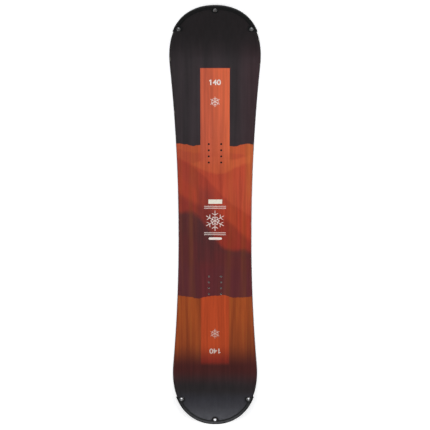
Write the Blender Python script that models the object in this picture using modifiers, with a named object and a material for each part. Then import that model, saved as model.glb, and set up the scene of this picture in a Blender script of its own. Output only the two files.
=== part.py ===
"""All-mountain snowboard, 1.40 m long, with bolted nose and tail guards, at its real size.

Every laminate is cut as a flat blank, with its holes, and is then pressed to the camber and
the tip curves, as the real layers are in their mould. The board lies base down with its nose
toward +Y and its toe side toward +X. The middle of its length is at the origin, and the base
stands on z = 0 under the feet.
"""

import math

import bmesh
import bpy
import numpy as np
from mathutils import Matrix, Vector

# Outline of the board, seen from above
BOARD_LENGTH = 1.400
WAIST_WIDTH = 0.2395
SIDECUT_RADIUS = 5.6
WAIST_SETBACK = 0.010
NOSE_LENGTH = 0.195
TAIL_LENGTH = 0.203
TIP_FULLNESS = 2.1

# Side profile of the base
CAMBER_HEIGHT = 0.004
FOOT_FLAT_LENGTH = 0.125
ROCKER_RADIUS = 5.5
KICK_LENGTH = 0.170
KICK_RADIUS = 0.400

# Binding inserts: two packs of four rows and two columns, centred a little toward the nose
STANCE = 0.4424
STANCE_SHIFT = 0.003
ROW_PITCH = 0.020
COLUMN_PITCH = 0.040
ROWS = 4
INSERT_BORE = 0.0050
INSERT_WALL = 0.0015
INSERT_FLANGE_RIM = 0.0035
INSERT_FLANGE_THICKNESS = 0.0012
TOPSHEET_HOLE_RIM = 0.0008

# Thickness of each laminate, and the resin line between two of them
BASE_THICKNESS = 0.0012
TOOTH_THICKNESS = 0.00055
RUBBER_THICKNESS = 0.0002
GLASS_THICKNESS = 0.0006
CORE_THICKNESS = 0.0070
CORE_TIP_THICKNESS = 0.0022
TOPSHEET_THICKNESS = 0.0005
BOND = 0.0001

# Steel edge, and what lies along the rim above it
EDGE_WIDTH = 0.0020
TOOTH_DEPTH = 0.0050
TOOTH_LENGTH = 0.028
TOOTH_GAP = 0.022
RUBBER_MARGIN = 0.0005
SIDEWALL_STEP = 0.0003
SIDEWALL_LEAN = 0.0012

# Tip spacers: the core ends on an arc at each tip
CORE_END = 0.075
CORE_END_BULGE = 0.080

# Guards, their bolts and the sleeve nuts
GUARD_OVERHANG = 0.0026
GUARD_FLANGE = 0.0100
GUARD_TOP = 0.0022
GUARD_BOTTOM = 0.0018
GUARD_ROUNDING = 0.0015
LUG_RADIUS = 0.0120
LUG_TAIL = 0.0080
BOLT_INSET = 0.0112
NOSE_BOLT_REACH = 0.0764
TAIL_BOLT_REACH = 0.0815
BOLT_SHANK = 0.0046
BOLT_HEAD = 0.0122
BOLT_HEAD_HEIGHT = 0.0028
HEX_SIZE = 0.0036
HEX_DEPTH = 0.0014
NUT_WALL = 0.0008
NUT_FLANGE_RIM = 0.0027
NUT_FLANGE_THICKNESS = 0.0010

# Clearances
SEAT_GAP = 0.0003
HOLE_GAP = 0.0002

# Fineness of the facets
CAMBER_STEPS = 6
FOOT_STEPS = 2
ROCKER_STEPS = 4
KICK_STEPS = 10
CAP_POINTS = 5
CAP_LENGTH = 0.004
ARC_STEPS = 22
BORE_FACETS = 8
BOLT_FACETS = 12
CROWN_STEPS = 3
LUG_FACETS = 24
RIM_SEGMENTS = 2
SHARP_ANGLE = math.radians(30)
CURVE_SAMPLES = 400
SLOPE_SAMPLES = 24
WELD = 1e-6

# Levels above the base, measured square to it
TOOTH_LEVEL = BASE_THICKNESS + BOND
RUBBER_LEVEL = TOOTH_LEVEL + TOOTH_THICKNESS + BOND
GLASS_RIM_LEVEL = RUBBER_LEVEL + RUBBER_THICKNESS + BOND
GLASS_LEVEL = BASE_THICKNESS + BOND
CORE_LEVEL = GLASS_LEVEL + GLASS_THICKNESS + BOND
SIDEWALL_LEVEL = GLASS_RIM_LEVEL + GLASS_THICKNESS + BOND
UPPER_GLASS_LIFT = BOND
TOPSHEET_LIFT = UPPER_GLASS_LIFT + GLASS_THICKNESS + BOND
TOP_LIFT = TOPSHEET_LIFT + TOPSHEET_THICKNESS
CORE_TOP = CORE_LEVEL + CORE_THICKNESS
TIP_TOP = CORE_LEVEL + CORE_TIP_THICKNESS + TOP_LIFT

# Insets from the rim
BASE_INSET = EDGE_WIDTH + BOND
TOOTH_INSET = EDGE_WIDTH + TOOTH_DEPTH
TRAY_INSET = TOOTH_INSET + 2 * RUBBER_MARGIN
SIDEWALL_INSET = TRAY_INSET + GLASS_THICKNESS
CORE_INSET = SIDEWALL_INSET + BOND
TOPSHEET_INSET = SIDEWALL_STEP + SIDEWALL_LEAN

# Diameters that follow from a bore or a shank
INSERT_BARREL = INSERT_BORE + 2 * INSERT_WALL
INSERT_FLANGE = INSERT_BARREL + 2 * INSERT_FLANGE_RIM
TOPSHEET_HOLE = INSERT_BORE + 2 * TOPSHEET_HOLE_RIM
NUT_BORE = BOLT_SHANK + 2 * HOLE_GAP
NUT_BARREL = NUT_BORE + 2 * NUT_WALL
NUT_FLANGE = NUT_BARREL + 2 * NUT_FLANGE_RIM

# Marks along the base, measured from the middle of the board
HALF_LENGTH = BOARD_LENGTH / 2
CAMBER_END = (STANCE - FOOT_FLAT_LENGTH) / 2
ROCKER_START = (STANCE + FOOT_FLAT_LENGTH) / 2
CONTACT = HALF_LENGTH - KICK_LENGTH
OVERREACH = 2 * GUARD_OVERHANG


def clear_scene():
    """Remove what the scene holds, with its meshes."""
    for obj in list(bpy.data.objects):
        bpy.data.objects.remove(obj, do_unlink=True)
    for mesh in list(bpy.data.meshes):
        bpy.data.meshes.remove(mesh)


def new_collection(name):
    """A collection of that name under the scene, empty."""
    collection = bpy.data.collections.get(name) or bpy.data.collections.new(name)
    if collection.name not in bpy.context.scene.collection.children:
        bpy.context.scene.collection.children.link(collection)
    return collection


def material(name, colour, roughness, metallic=0.0):
    """A Principled material of its own for a part."""
    made = bpy.data.materials.new(name)
    made.use_nodes = True
    shader = made.node_tree.nodes["Principled BSDF"]
    shader.inputs["Base Color"].default_value = (*colour, 1.0)
    shader.inputs["Roughness"].default_value = roughness
    shader.inputs["Metallic"].default_value = metallic
    made.diffuse_color = (*colour, 1.0)
    return made


# The side profile, as stations along the base
def base_slope(along):
    """Slope of the base at a distance along it from the middle of the board."""
    reach = abs(along)
    if reach < CAMBER_END:
        slope = -CAMBER_HEIGHT * math.pi / (2 * CAMBER_END) * math.sin(math.pi * reach / CAMBER_END)
    elif reach < ROCKER_START:
        slope = 0.0
    elif reach < CONTACT:
        slope = (reach - ROCKER_START) / ROCKER_RADIUS
    else:
        slope = (CONTACT - ROCKER_START) / ROCKER_RADIUS + (reach - CONTACT) / KICK_RADIUS
    return slope


def station_marks():
    """Distances along the base at which the pressed laminates are creased."""
    half = [
        np.linspace(0, CAMBER_END, CAMBER_STEPS // 2 + 1)[:-1],
        np.linspace(CAMBER_END, ROCKER_START, FOOT_STEPS + 1)[:-1],
        np.linspace(ROCKER_START, CONTACT, ROCKER_STEPS + 1)[:-1],
        np.linspace(CONTACT, HALF_LENGTH, KICK_STEPS + 1),
        [HALF_LENGTH + OVERREACH],
    ]
    half = np.concatenate(half)
    return np.concatenate([-half[:0:-1], half])


def side_profile(marks):
    """Points of the base (y, z) at the marks, and the mitred direction square to it at each."""
    points = [(0.0, CAMBER_HEIGHT)]
    middle = len(marks) // 2
    for near, far in zip(marks[middle:-1], marks[middle + 1:]):
        step = (far - near) / SLOPE_SAMPLES
        slopes = np.array([base_slope(near + (i + 0.5) * step) for i in range(SLOPE_SAMPLES)])
        y, z = points[-1]
        points.append((y + step * np.cos(slopes).sum(), z + step * np.sin(slopes).sum()))
    right = np.array(points)
    left = right[:0:-1] * (-1.0, 1.0)
    base = np.concatenate([left, right])
    runs = np.diff(base, axis=0)
    runs /= np.linalg.norm(runs, axis=1)[:, None]
    normals = np.stack([-runs[:, 1], runs[:, 0]], axis=1)
    before = np.concatenate([normals[:1], normals])
    after = np.concatenate([normals, normals[-1:]])
    mitres = (before + after) / (1.0 + (before * after).sum(axis=1))[:, None]
    return base, mitres


STATIONS = station_marks()
BASE_LINE, MITRES = side_profile(STATIONS)


def core_thickness(along):
    """The core is full between the feet and thins evenly from there to each contact point."""
    reach = np.clip((np.abs(along) - ROCKER_START) / (CONTACT - ROCKER_START), 0.0, 1.0)
    return CORE_THICKNESS + (CORE_TIP_THICKNESS - CORE_THICKNESS) * reach


def pressed(x, along, height):
    """Where a point of a flat blank goes: x across, along the base, height square to it."""
    y = np.interp(along, STATIONS, BASE_LINE[:, 0]) + height * np.interp(along, STATIONS, MITRES[:, 0])
    z = np.interp(along, STATIONS, BASE_LINE[:, 1]) + height * np.interp(along, STATIONS, MITRES[:, 1])
    return Vector((x, y, z))


def core_top(along):
    """Height of the core's top above the base, creased at the same stations."""
    return CORE_LEVEL + np.interp(along, STATIONS, core_thickness(STATIONS))


# The outline, as a sidecut arc that closes on a fuller-than-round curve at each tip
def rim(inset):
    """Toe-side outline from tail tip to nose tip, moved inward by the inset, as (x, along)."""
    turn = np.linspace(0, math.pi / 2, CURVE_SAMPLES)
    nose_start = HALF_LENGTH - NOSE_LENGTH
    tail_start = HALF_LENGTH - TAIL_LENGTH
    nose = nose_start + NOSE_LENGTH * np.sin(turn) ** (2 / TIP_FULLNESS)
    tail = tail_start + TAIL_LENGTH * np.sin(turn) ** (2 / TIP_FULLNESS)
    closing = np.cos(turn) ** (2 / TIP_FULLNESS)
    waist = np.linspace(-tail_start, nose_start, CURVE_SAMPLES)[1:-1]
    along = np.concatenate([-tail[::-1], waist, nose])
    share = np.concatenate([closing[::-1], np.ones(len(waist)), closing])
    across = share * (WAIST_WIDTH / 2 + (along + WAIST_SETBACK) ** 2 / (2 * SIDECUT_RADIUS))
    run_x, run_y = np.gradient(across), np.gradient(along)
    length = np.hypot(run_x, run_y)
    return across - inset * run_y / length, along + inset * run_x / length


def half_outline(inset):
    """Points of the moved outline at the stations and round the tips, tail tip to nose tip."""
    across, along = rim(inset)
    run = np.concatenate([[0.0], np.cumsum(np.hypot(np.diff(across), np.diff(along)))])
    marks = [m for m in STATIONS if along[0] + CAP_LENGTH < m < along[-1] - CAP_LENGTH]
    first, last = np.interp((marks[0], marks[-1]), along, run)
    stops = np.concatenate([
        np.linspace(0.0, first, CAP_POINTS + 1)[:-1],
        np.interp(marks, along, run),
        np.linspace(last, run[-1], CAP_POINTS + 1)[1:],
    ])
    points = np.stack([np.interp(stops, run, across), np.interp(stops, run, along)], axis=1)
    return [(float(x), float(mark)) for x, mark in points]


def outline(inset):
    """The whole moved outline, anticlockwise from the tail tip."""
    half = half_outline(inset)
    return half + [(-x, along) for x, along in half[-2:0:-1]]


def half_width(inset, tip, reach):
    """Half width of the moved outline at a distance toward a tip from the middle of the board."""
    across, along = rim(inset)
    order = slice(None) if tip > 0 else slice(None, None, -1)
    return float(np.interp(reach, (along * tip)[order], across[order]))


def half_ring(outer, inner, gap=0.0):
    """Toe half of the band between two insets, ending a gap short of the middle line."""
    outside = [(max(x, gap), along) for x, along in half_outline(outer)]
    inside = [(max(x, gap), along) for x, along in half_outline(inner)]
    return outside + inside[::-1]


def rim_point(distance, inset):
    """Point at a distance along the toe-side rim from the tail tip, moved inward."""
    across, along = rim(0.0)
    run = np.concatenate([[0.0], np.cumsum(np.hypot(np.diff(across), np.diff(along)))])
    moved_x, moved_along = rim(inset)
    return float(np.interp(distance, run, moved_x)), float(np.interp(distance, run, moved_along))


def rim_length():
    """Length of one side of the rim, from tip to tip."""
    across, along = rim(0.0)
    return float(np.hypot(np.diff(across), np.diff(along)).sum())


def mirrored(points):
    """The same outline on the heel side, still anticlockwise."""
    return [(-x, along) for x, along in reversed(points)]


# Blanks, cuts and the press
def flat_blank(name, points, bottom, top, collection):
    """A flat outline as a filled 2D curve, made into a welded mesh between two heights."""
    curve = bpy.data.curves.new(name, "CURVE")
    curve.dimensions = "2D"
    curve.fill_mode = "BOTH"
    curve.extrude = (top - bottom) / 2
    spline = curve.splines.new("POLY")
    spline.points.add(len(points) - 1)
    for point, (x, along) in zip(spline.points, points):
        point.co = (x, along, 0.0, 1.0)
    spline.use_cyclic_u = True
    drawn = bpy.data.objects.new(name + "_outline", curve)
    bpy.context.scene.collection.objects.link(drawn)
    graph = bpy.context.evaluated_depsgraph_get()
    mesh = bpy.data.meshes.new_from_object(drawn.evaluated_get(graph))
    bpy.data.objects.remove(drawn)
    mesh.name = name
    bm = bmesh.new()
    bm.from_mesh(mesh)
    bmesh.ops.remove_doubles(bm, verts=bm.verts, dist=WELD)
    bmesh.ops.translate(bm, verts=bm.verts, vec=(0, 0, (bottom + top) / 2))
    flat = [e for e in bm.edges if len(e.link_faces) == 2 and e.calc_face_angle() < 1e-3
            and abs(e.link_faces[0].normal.z) > 0.5]
    bmesh.ops.dissolve_edges(bm, edges=flat, use_verts=False, use_face_split=False)
    bmesh.ops.recalc_face_normals(bm, faces=bm.faces)
    bm.to_mesh(mesh)
    bm.free()
    obj = bpy.data.objects.new(name, mesh)
    collection.objects.link(obj)
    return obj


def cutter_blank(name, points, bottom, top):
    """A flat blank that only cuts or joins other blanks."""
    return hide_cutter(flat_blank(name, points, bottom, top, PARTS))


def rod(name, centre, radius, bottom, top, sides=BORE_FACETS):
    """An upright cylinder among the cutters, with a corner toward +X as on a turned part."""
    bpy.ops.mesh.primitive_cylinder_add(
        vertices=sides, radius=radius, depth=top - bottom,
        location=(centre[0], centre[1], (bottom + top) / 2), rotation=(0, 0, -math.pi / 2))
    return hide_cutter(bpy.context.active_object, name)


def hide_cutter(cutter, name=None):
    """Move an object to the cutters: out of the render, drawn as wire."""
    cutter.name = name or cutter.name
    for old in list(cutter.users_collection):
        old.objects.unlink(cutter)
    CUTTERS.objects.link(cutter)
    cutter.hide_render = True
    cutter.display_type = "WIRE"
    return cutter


def joined(name, pieces):
    """One cutter object that holds several separate closed shapes."""
    bm = bmesh.new()
    for piece in pieces:
        piece.data.transform(piece.matrix_basis)
        bm.from_mesh(piece.data)
        bpy.data.objects.remove(piece)
    mesh = bpy.data.meshes.new(name)
    bm.to_mesh(mesh)
    bm.free()
    return hide_cutter(bpy.data.objects.new(name, mesh))


def apply_boolean(obj, other, operation):
    """Cut, join or keep the common part with the exact solver, and apply the result."""
    modifier = obj.modifiers.new(operation.lower(), "BOOLEAN")
    modifier.operation = operation
    modifier.solver = "EXACT"
    modifier.object = other
    graph = bpy.context.evaluated_depsgraph_get()
    mesh = bpy.data.meshes.new_from_object(obj.evaluated_get(graph))
    obj.modifiers.clear()
    old = obj.data
    obj.data = mesh
    bpy.data.meshes.remove(old)


def press(obj, lift=None):
    """Crease a flat blank at the stations and press it to the base, or to the core's top."""
    bm = bmesh.new()
    bm.from_mesh(obj.data)
    low = min(v.co.y for v in bm.verts)
    high = max(v.co.y for v in bm.verts)
    for mark in STATIONS:
        if low + CAP_LENGTH / 4 < mark < high - CAP_LENGTH / 4:
            everything = bm.verts[:] + bm.edges[:] + bm.faces[:]
            bmesh.ops.bisect_plane(
                bm, geom=everything, dist=2 * WELD, plane_co=(0, mark, 0), plane_no=(0, 1, 0))
    for v in bm.verts:
        x, along, height = v.co
        v.co = pressed(x, along, height if lift is None else lift(along, height))
    bmesh.ops.triangulate(bm, faces=bm.faces)
    bm.to_mesh(obj.data)
    bm.free()


def dress(obj, made):
    """Give a part its material, and smooth shading that keeps its sharp edges."""
    obj.data.materials.clear()
    obj.data.materials.append(made)
    obj.data.shade_smooth()
    obj.data.set_sharp_from_angle(angle=SHARP_ANGLE)


def on_core(along, height):
    """Lift of a blank that lies on the core."""
    return core_top(along) + height


def between_skins(along, height):
    """Lift of a blank as thick as the core: what is above the sidewall's foot thins with it."""
    foot = min(height, SIDEWALL_LEVEL)
    share = (height - foot) / (CORE_TOP - SIDEWALL_LEVEL)
    return foot + share * (core_top(along) - SIDEWALL_LEVEL)


# Where the inserts and the guard bolts stand
def insert_places():
    """(name, x, along) of each insert, front pack first, row by row."""
    places = []
    for pack, half in (("front", STANCE / 2), ("rear", -STANCE / 2)):
        count = 0
        for row in range(ROWS):
            along = STANCE_SHIFT + half + ((ROWS - 1) / 2 - row) * ROW_PITCH
            for side in (-1, 1):
                count += 1
                places.append((f"insert_{pack}_{count}", side * COLUMN_PITCH / 2, along))
    return places


def end_bolts(tip):
    """Distance toward a tip of the bolts at its guard's ends; tip is 1 at the nose and -1 at the tail."""
    return HALF_LENGTH - (NOSE_BOLT_REACH if tip > 0 else TAIL_BOLT_REACH)


def bolt_places(tip):
    """(name, x, along) of a guard's three bolts."""
    end = end_bolts(tip)
    side = half_width(BOLT_INSET, tip, end)
    return [("heel", -side, tip * end), ("centre", 0.0, tip * (HALF_LENGTH - BOLT_INSET)),
            ("toe", side, tip * end)]


clear_scene()
PARTS = new_collection("snowboard")
CUTTERS = new_collection("cutters")
ABOVE = CORE_TOP + TOP_LIFT + 2 * GUARD_TOP
BELOW = -2 * GUARD_BOTTOM
BOLTS = {"nose": bolt_places(1), "tail": bolt_places(-1)}
TIPS = (("nose", 1), ("tail", -1))


# Cutters that several laminates share
def bolt_cutter(name, radius):
    """Straight holes for all six sleeve nuts."""
    rods = [rod(name, (x, along), radius, BELOW, ABOVE)
            for bolts in BOLTS.values() for _, x, along in bolts]
    return joined(name, rods)


def insert_cutter(name, radius, bottom=BELOW, top=ABOVE):
    """Straight holes for all the inserts."""
    rods = [rod(name, (x, along), radius, bottom, top) for _, x, along in insert_places()]
    return joined(name, rods)


def tip_region(name, tip, gap):
    """The area past the arc that ends the core, as a block that covers a tip."""
    reach = WAIST_WIDTH
    bulge = CORE_END_BULGE / (WAIST_WIDTH / 2) ** 2
    steps = np.linspace(-reach, reach, ARC_STEPS + 1)
    arc = [(float(x), tip * (HALF_LENGTH - CORE_END + gap - bulge * x * x)) for x in steps]
    far = tip * (HALF_LENGTH + OVERREACH)
    return cutter_blank(name, arc + [(reach, far), (-reach, far)], BELOW, ABOVE)


NUT_HOLES = bolt_cutter("cut_nut_holes", NUT_BARREL / 2 + HOLE_GAP)
BARREL_HOLES = insert_cutter("cut_insert_barrels", INSERT_BARREL / 2 + HOLE_GAP)


def make_base_sheet():
    """Running base of sintered polyethylene, inside the steel edge."""
    sheet = flat_blank("base_sheet", outline(BASE_INSET), 0.0, BASE_THICKNESS, PARTS)
    apply_boolean(sheet, NUT_HOLES, "DIFFERENCE")
    press(sheet)
    dress(sheet, material("base_polyethylene", (0.02, 0.02, 0.02), 0.45))


def comb_outline():
    """Teeth of the edge on the toe side: a strip inside the rail with a tab at each pitch."""
    back = EDGE_WIDTH / 2
    neck = (back + EDGE_WIDTH) / 2
    pitch = TOOTH_LENGTH + TOOTH_GAP
    count = int(rim_length() // pitch)
    start = (rim_length() - count * pitch + TOOTH_GAP) / 2
    strip, teeth = [], []
    for number in range(count):
        near = start + number * pitch
        far = near + TOOTH_LENGTH
        strip += [rim_point(near, back), rim_point(far, back)]
        for distance, inset in ((near, neck), (near, TOOTH_INSET), (far, TOOTH_INSET), (far, neck)):
            teeth.append(rim_point(distance, inset))
    return strip + teeth[::-1]


def make_edges():
    """Wrap-round steel edge in two halves, with its teeth over the base."""
    steel = material("edge_steel", (0.42, 0.42, 0.43), 0.32, 1.0)
    top = TOOTH_LEVEL + TOOTH_THICKNESS
    for name, turn in (("edge_toe", list), ("edge_heel", mirrored)):
        band = turn(half_ring(0.0, EDGE_WIDTH, SEAT_GAP / 2))
        rail = flat_blank(name, band, 0.0, top + BOND / 2, PARTS)
        comb = cutter_blank("teeth_" + name, turn(comb_outline()), TOOTH_LEVEL, top)
        apply_boolean(rail, comb, "UNION")
        press(rail)
        dress(rail, steel)


def make_edge_rubbers():
    """Thin rubber foil over the teeth, along the running length of each side."""
    rubber = material("foil_rubber", (0.015, 0.015, 0.015), 0.8)
    for name, turn in (("edge_rubber_toe", list), ("edge_rubber_heel", mirrored)):
        outside, inside = ([p for p in half_outline(inset) if abs(p[1]) < CONTACT + BOND]
                           for inset in (RUBBER_MARGIN, TOOTH_INSET + RUBBER_MARGIN))
        foil = flat_blank(name, turn(outside + inside[::-1]), RUBBER_LEVEL,
                          RUBBER_LEVEL + RUBBER_THICKNESS, PARTS)
        press(foil)
        dress(foil, rubber)


def make_lower_glass():
    """Glass laminate under the core: its rim steps up over the teeth like the lip of a tray."""
    glass = flat_blank("lower_fibreglass", outline(SIDEWALL_STEP), GLASS_RIM_LEVEL,
                       GLASS_RIM_LEVEL + GLASS_THICKNESS, PARTS)
    tray = cutter_blank("add_tray", outline(TRAY_INSET), GLASS_LEVEL,
                        GLASS_RIM_LEVEL + GLASS_THICKNESS / 2)
    apply_boolean(glass, tray, "UNION")
    pocket = cutter_blank("cut_tray", outline(TRAY_INSET + GLASS_THICKNESS),
                          GLASS_LEVEL + GLASS_THICKNESS, ABOVE)
    apply_boolean(glass, pocket, "DIFFERENCE")
    apply_boolean(glass, NUT_HOLES, "DIFFERENCE")
    press(glass)
    dress(glass, material("lower_glass", (0.55, 0.6, 0.5), 0.4))


def make_core():
    """Wood core, bored from below for the insert flanges."""
    core = flat_blank("wood_core", outline(CORE_INSET), CORE_LEVEL, CORE_TOP, PARTS)
    for name, tip in TIPS:
        apply_boolean(core, tip_region(f"cut_core_{name}", tip, -BOND / 2), "DIFFERENCE")
    apply_boolean(core, BARREL_HOLES, "DIFFERENCE")
    seats = insert_cutter("cut_insert_seats", INSERT_FLANGE / 2 + HOLE_GAP, BELOW,
                          CORE_LEVEL + INSERT_FLANGE_THICKNESS + HOLE_GAP)
    apply_boolean(core, seats, "DIFFERENCE")
    press(core, between_skins)
    dress(core, material("core_wood", (0.62, 0.45, 0.26), 0.6))


def lean_in(obj):
    """Slope the outer face of a blank inward from the sidewall's foot to its top."""
    middle = (SIDEWALL_LEVEL + CORE_TOP) / 2
    across, along = rim(SIDEWALL_STEP)
    leaned, moved = rim(TOPSHEET_INSET)
    for v in obj.data.vertices:
        near = int(np.argmin((across - abs(v.co.x)) ** 2 + (along - v.co.y) ** 2))
        distance = math.hypot(across[near] - abs(v.co.x), along[near] - v.co.y)
        if distance < SIDEWALL_LEAN and v.co.z > middle:
            v.co.x += math.copysign(1.0, v.co.x) * (leaned[near] - across[near])
            v.co.y += moved[near] - along[near]


def make_sidewalls():
    """Plastic sidewalls beside the core, sloped inward toward the top."""
    plastic = material("sidewall_plastic", (0.02, 0.02, 0.02), 0.4)
    for name, turn in (("sidewall_toe", list), ("sidewall_heel", mirrored)):
        band = turn(half_ring(SIDEWALL_STEP, SIDEWALL_INSET))
        wall = flat_blank(name, band, SIDEWALL_LEVEL, CORE_TOP, PARTS)
        lean_in(wall)
        for end, tip in TIPS:
            apply_boolean(wall, tip_region(f"cut_{name}_{end}", tip, -BOND / 2), "DIFFERENCE")
        press(wall, between_skins)
        dress(wall, plastic)


def make_spacers():
    """Plastic spacers that carry on from the core and the sidewalls to each tip."""
    middle = (SIDEWALL_LEVEL + CORE_TOP) / 2
    plastic = material("spacer_plastic", (0.02, 0.02, 0.02), 0.4)
    for name, tip in TIPS:
        spacer = flat_blank(f"{name}_spacer", outline(SIDEWALL_STEP), SIDEWALL_LEVEL, CORE_TOP, PARTS)
        lean_in(spacer)
        inner = cutter_blank(f"add_{name}_spacer", outline(CORE_INSET), CORE_LEVEL, middle)
        apply_boolean(spacer, inner, "UNION")
        apply_boolean(spacer, tip_region(f"keep_{name}", tip, BOND / 2), "INTERSECT")
        apply_boolean(spacer, NUT_HOLES, "DIFFERENCE")
        press(spacer, between_skins)
        dress(spacer, plastic)


def make_upper_skins():
    """Glass laminate over the core, and the printed topsheet over that."""
    holes = insert_cutter("cut_topsheet_holes", TOPSHEET_HOLE / 2)
    skins = (
        ("upper_fibreglass", UPPER_GLASS_LIFT, GLASS_THICKNESS, BARREL_HOLES,
         material("upper_glass", (0.55, 0.6, 0.5), 0.4)),
        ("topsheet", TOPSHEET_LIFT, TOPSHEET_THICKNESS, holes,
         material("printed_topsheet", (0.42, 0.08, 0.03), 0.3)),
    )
    for name, bottom, thickness, inserts, made in skins:
        skin = flat_blank(name, outline(TOPSHEET_INSET), bottom, bottom + thickness, PARTS)
        apply_boolean(skin, inserts, "DIFFERENCE")
        apply_boolean(skin, NUT_HOLES, "DIFFERENCE")
        press(skin, on_core)
        dress(skin, made)


def turned(name, profile, place, made, sides=BORE_FACETS):
    """A turned part: a profile swept by a Screw modifier, standing at a place on the board."""
    mesh = bpy.data.meshes.new(name)
    bm = bmesh.new()
    points = [bm.verts.new((radius, 0.0, height)) for radius, height in profile]
    for near, far in zip(points, points[1:] + points[:1]):
        if near.co.x > 0 or far.co.x > 0:
            bm.edges.new((near, far))
    bm.to_mesh(mesh)
    bm.free()
    obj = bpy.data.objects.new(name, mesh)
    PARTS.objects.link(obj)
    obj.matrix_world = place
    screw = obj.modifiers.new("turn", "SCREW")
    screw.steps = sides
    screw.render_steps = sides
    screw.use_merge_vertices = True
    screw.merge_threshold = WELD
    obj.data.materials.append(made)
    return obj


def place_on(x, along, height):
    """Matrix of a part that stands square to the board at a height above its base."""
    foot = pressed(x, along, height)
    up = (pressed(x, along, height + 1.0) - foot).normalized()
    side = Vector((1.0, 0.0, 0.0))
    return Matrix.Translation(foot) @ Matrix((side, up.cross(side), up)).transposed().to_4x4()


def make_inserts():
    """Flanged steel inserts, closed at the base side and open to the topsheet."""
    steel = material("insert_steel", (0.5, 0.5, 0.5), 0.35, 1.0)
    height = CORE_THICKNESS + UPPER_GLASS_LIFT + GLASS_THICKNESS
    bore, barrel, flange = INSERT_BORE / 2, INSERT_BARREL / 2, INSERT_FLANGE / 2
    profile = [(0.0, INSERT_FLANGE_THICKNESS), (bore, INSERT_FLANGE_THICKNESS), (bore, height),
               (barrel, height), (barrel, INSERT_FLANGE_THICKNESS), (flange, INSERT_FLANGE_THICKNESS),
               (flange, 0.0), (0.0, 0.0)]
    for name, x, along in insert_places():
        turned(name, profile, place_on(x, along, CORE_LEVEL), steel)


def tip_arc(tip, inset):
    """Moved outline over a guard's stretch, from its square end on the toe side round to the heel."""
    limit = end_bolts(tip) - LUG_TAIL
    order = slice(None) if tip > 0 else slice(None, None, -1)
    points = [(x, mark) for x, mark in half_outline(inset)[order] if mark * tip > limit + CAP_LENGTH]
    toe = [(half_width(inset, tip, limit), limit * tip)] + points
    return toe + [(-x, mark) for x, mark in toe[-2::-1]]


def make_guards():
    """Moulded guards: a flange over the topsheet, one under the base and a rounded rim."""
    moulded = material("guard_plastic", (0.018, 0.018, 0.018), 0.35)
    low = -SEAT_GAP - GUARD_BOTTOM
    high = TIP_TOP + SEAT_GAP + GUARD_TOP
    slot = cutter_blank("cut_guard_slot", outline(-SEAT_GAP), -SEAT_GAP, TIP_TOP + SEAT_GAP)
    for name, tip in TIPS:
        outer = tip_arc(tip, -GUARD_OVERHANG)
        crescent = outer + tip_arc(tip, GUARD_FLANGE)[::-1]
        guard = flat_blank(f"{name}_guard", crescent, low, high, PARTS)
        keep = cutter_blank(f"keep_lugs_{name}", outer, BELOW, ABOVE)
        for end, x, along in BOLTS[name]:
            lug = rod(f"lug_{name}_{end}", (x, along), LUG_RADIUS, low, high, LUG_FACETS)
            apply_boolean(lug, keep, "INTERSECT")
            apply_boolean(guard, lug, "UNION")
        round_rim(guard, low, high)
        apply_boolean(guard, slot, "DIFFERENCE")
        drill_guard(guard, name, low)
        press(guard)
        dress(guard, moulded)


def round_rim(guard, low, high):
    """Round the guard's outer rim, above and below, by bevelling its long edges."""
    across, along = rim(-GUARD_OVERHANG)
    bm = bmesh.new()
    bm.from_mesh(guard.data)

    def on_rim(v):
        return min((across - abs(v.co.x)) ** 2 + (along - v.co.y) ** 2) < (GUARD_OVERHANG / 3) ** 2

    edges = [e for e in bm.edges if abs(e.verts[0].co.z - e.verts[1].co.z) < SEAT_GAP
             and all(on_rim(v) and (v.co.z > high - SEAT_GAP or v.co.z < low + SEAT_GAP) for v in e.verts)
             and max(abs(f.normal.z) for f in e.link_faces) > 0.5
             and min(abs(f.normal.z) for f in e.link_faces) < 0.5]
    bmesh.ops.bevel(bm, geom=edges, offset=GUARD_ROUNDING, segments=RIM_SEGMENTS, profile=0.5,
                    affect="EDGES", clamp_overlap=True)
    bm.to_mesh(guard.data)
    bm.free()


def drill_guard(guard, name, low):
    """Bolt holes through the top flange, and stepped seats for the nuts in the bottom one."""
    steps = (
        ("bolts", BOLT_SHANK, ABOVE),
        ("nuts", NUT_BARREL, CORE_LEVEL),
        ("nut_flanges", NUT_FLANGE, low + NUT_FLANGE_THICKNESS + HOLE_GAP),
    )
    for step, diameter, top in steps:
        rods = [rod(step, (x, along), diameter / 2 + HOLE_GAP, BELOW, top) for _, x, along in BOLTS[name]]
        apply_boolean(guard, joined(f"cut_{step}_{name}", rods), "DIFFERENCE")


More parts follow.
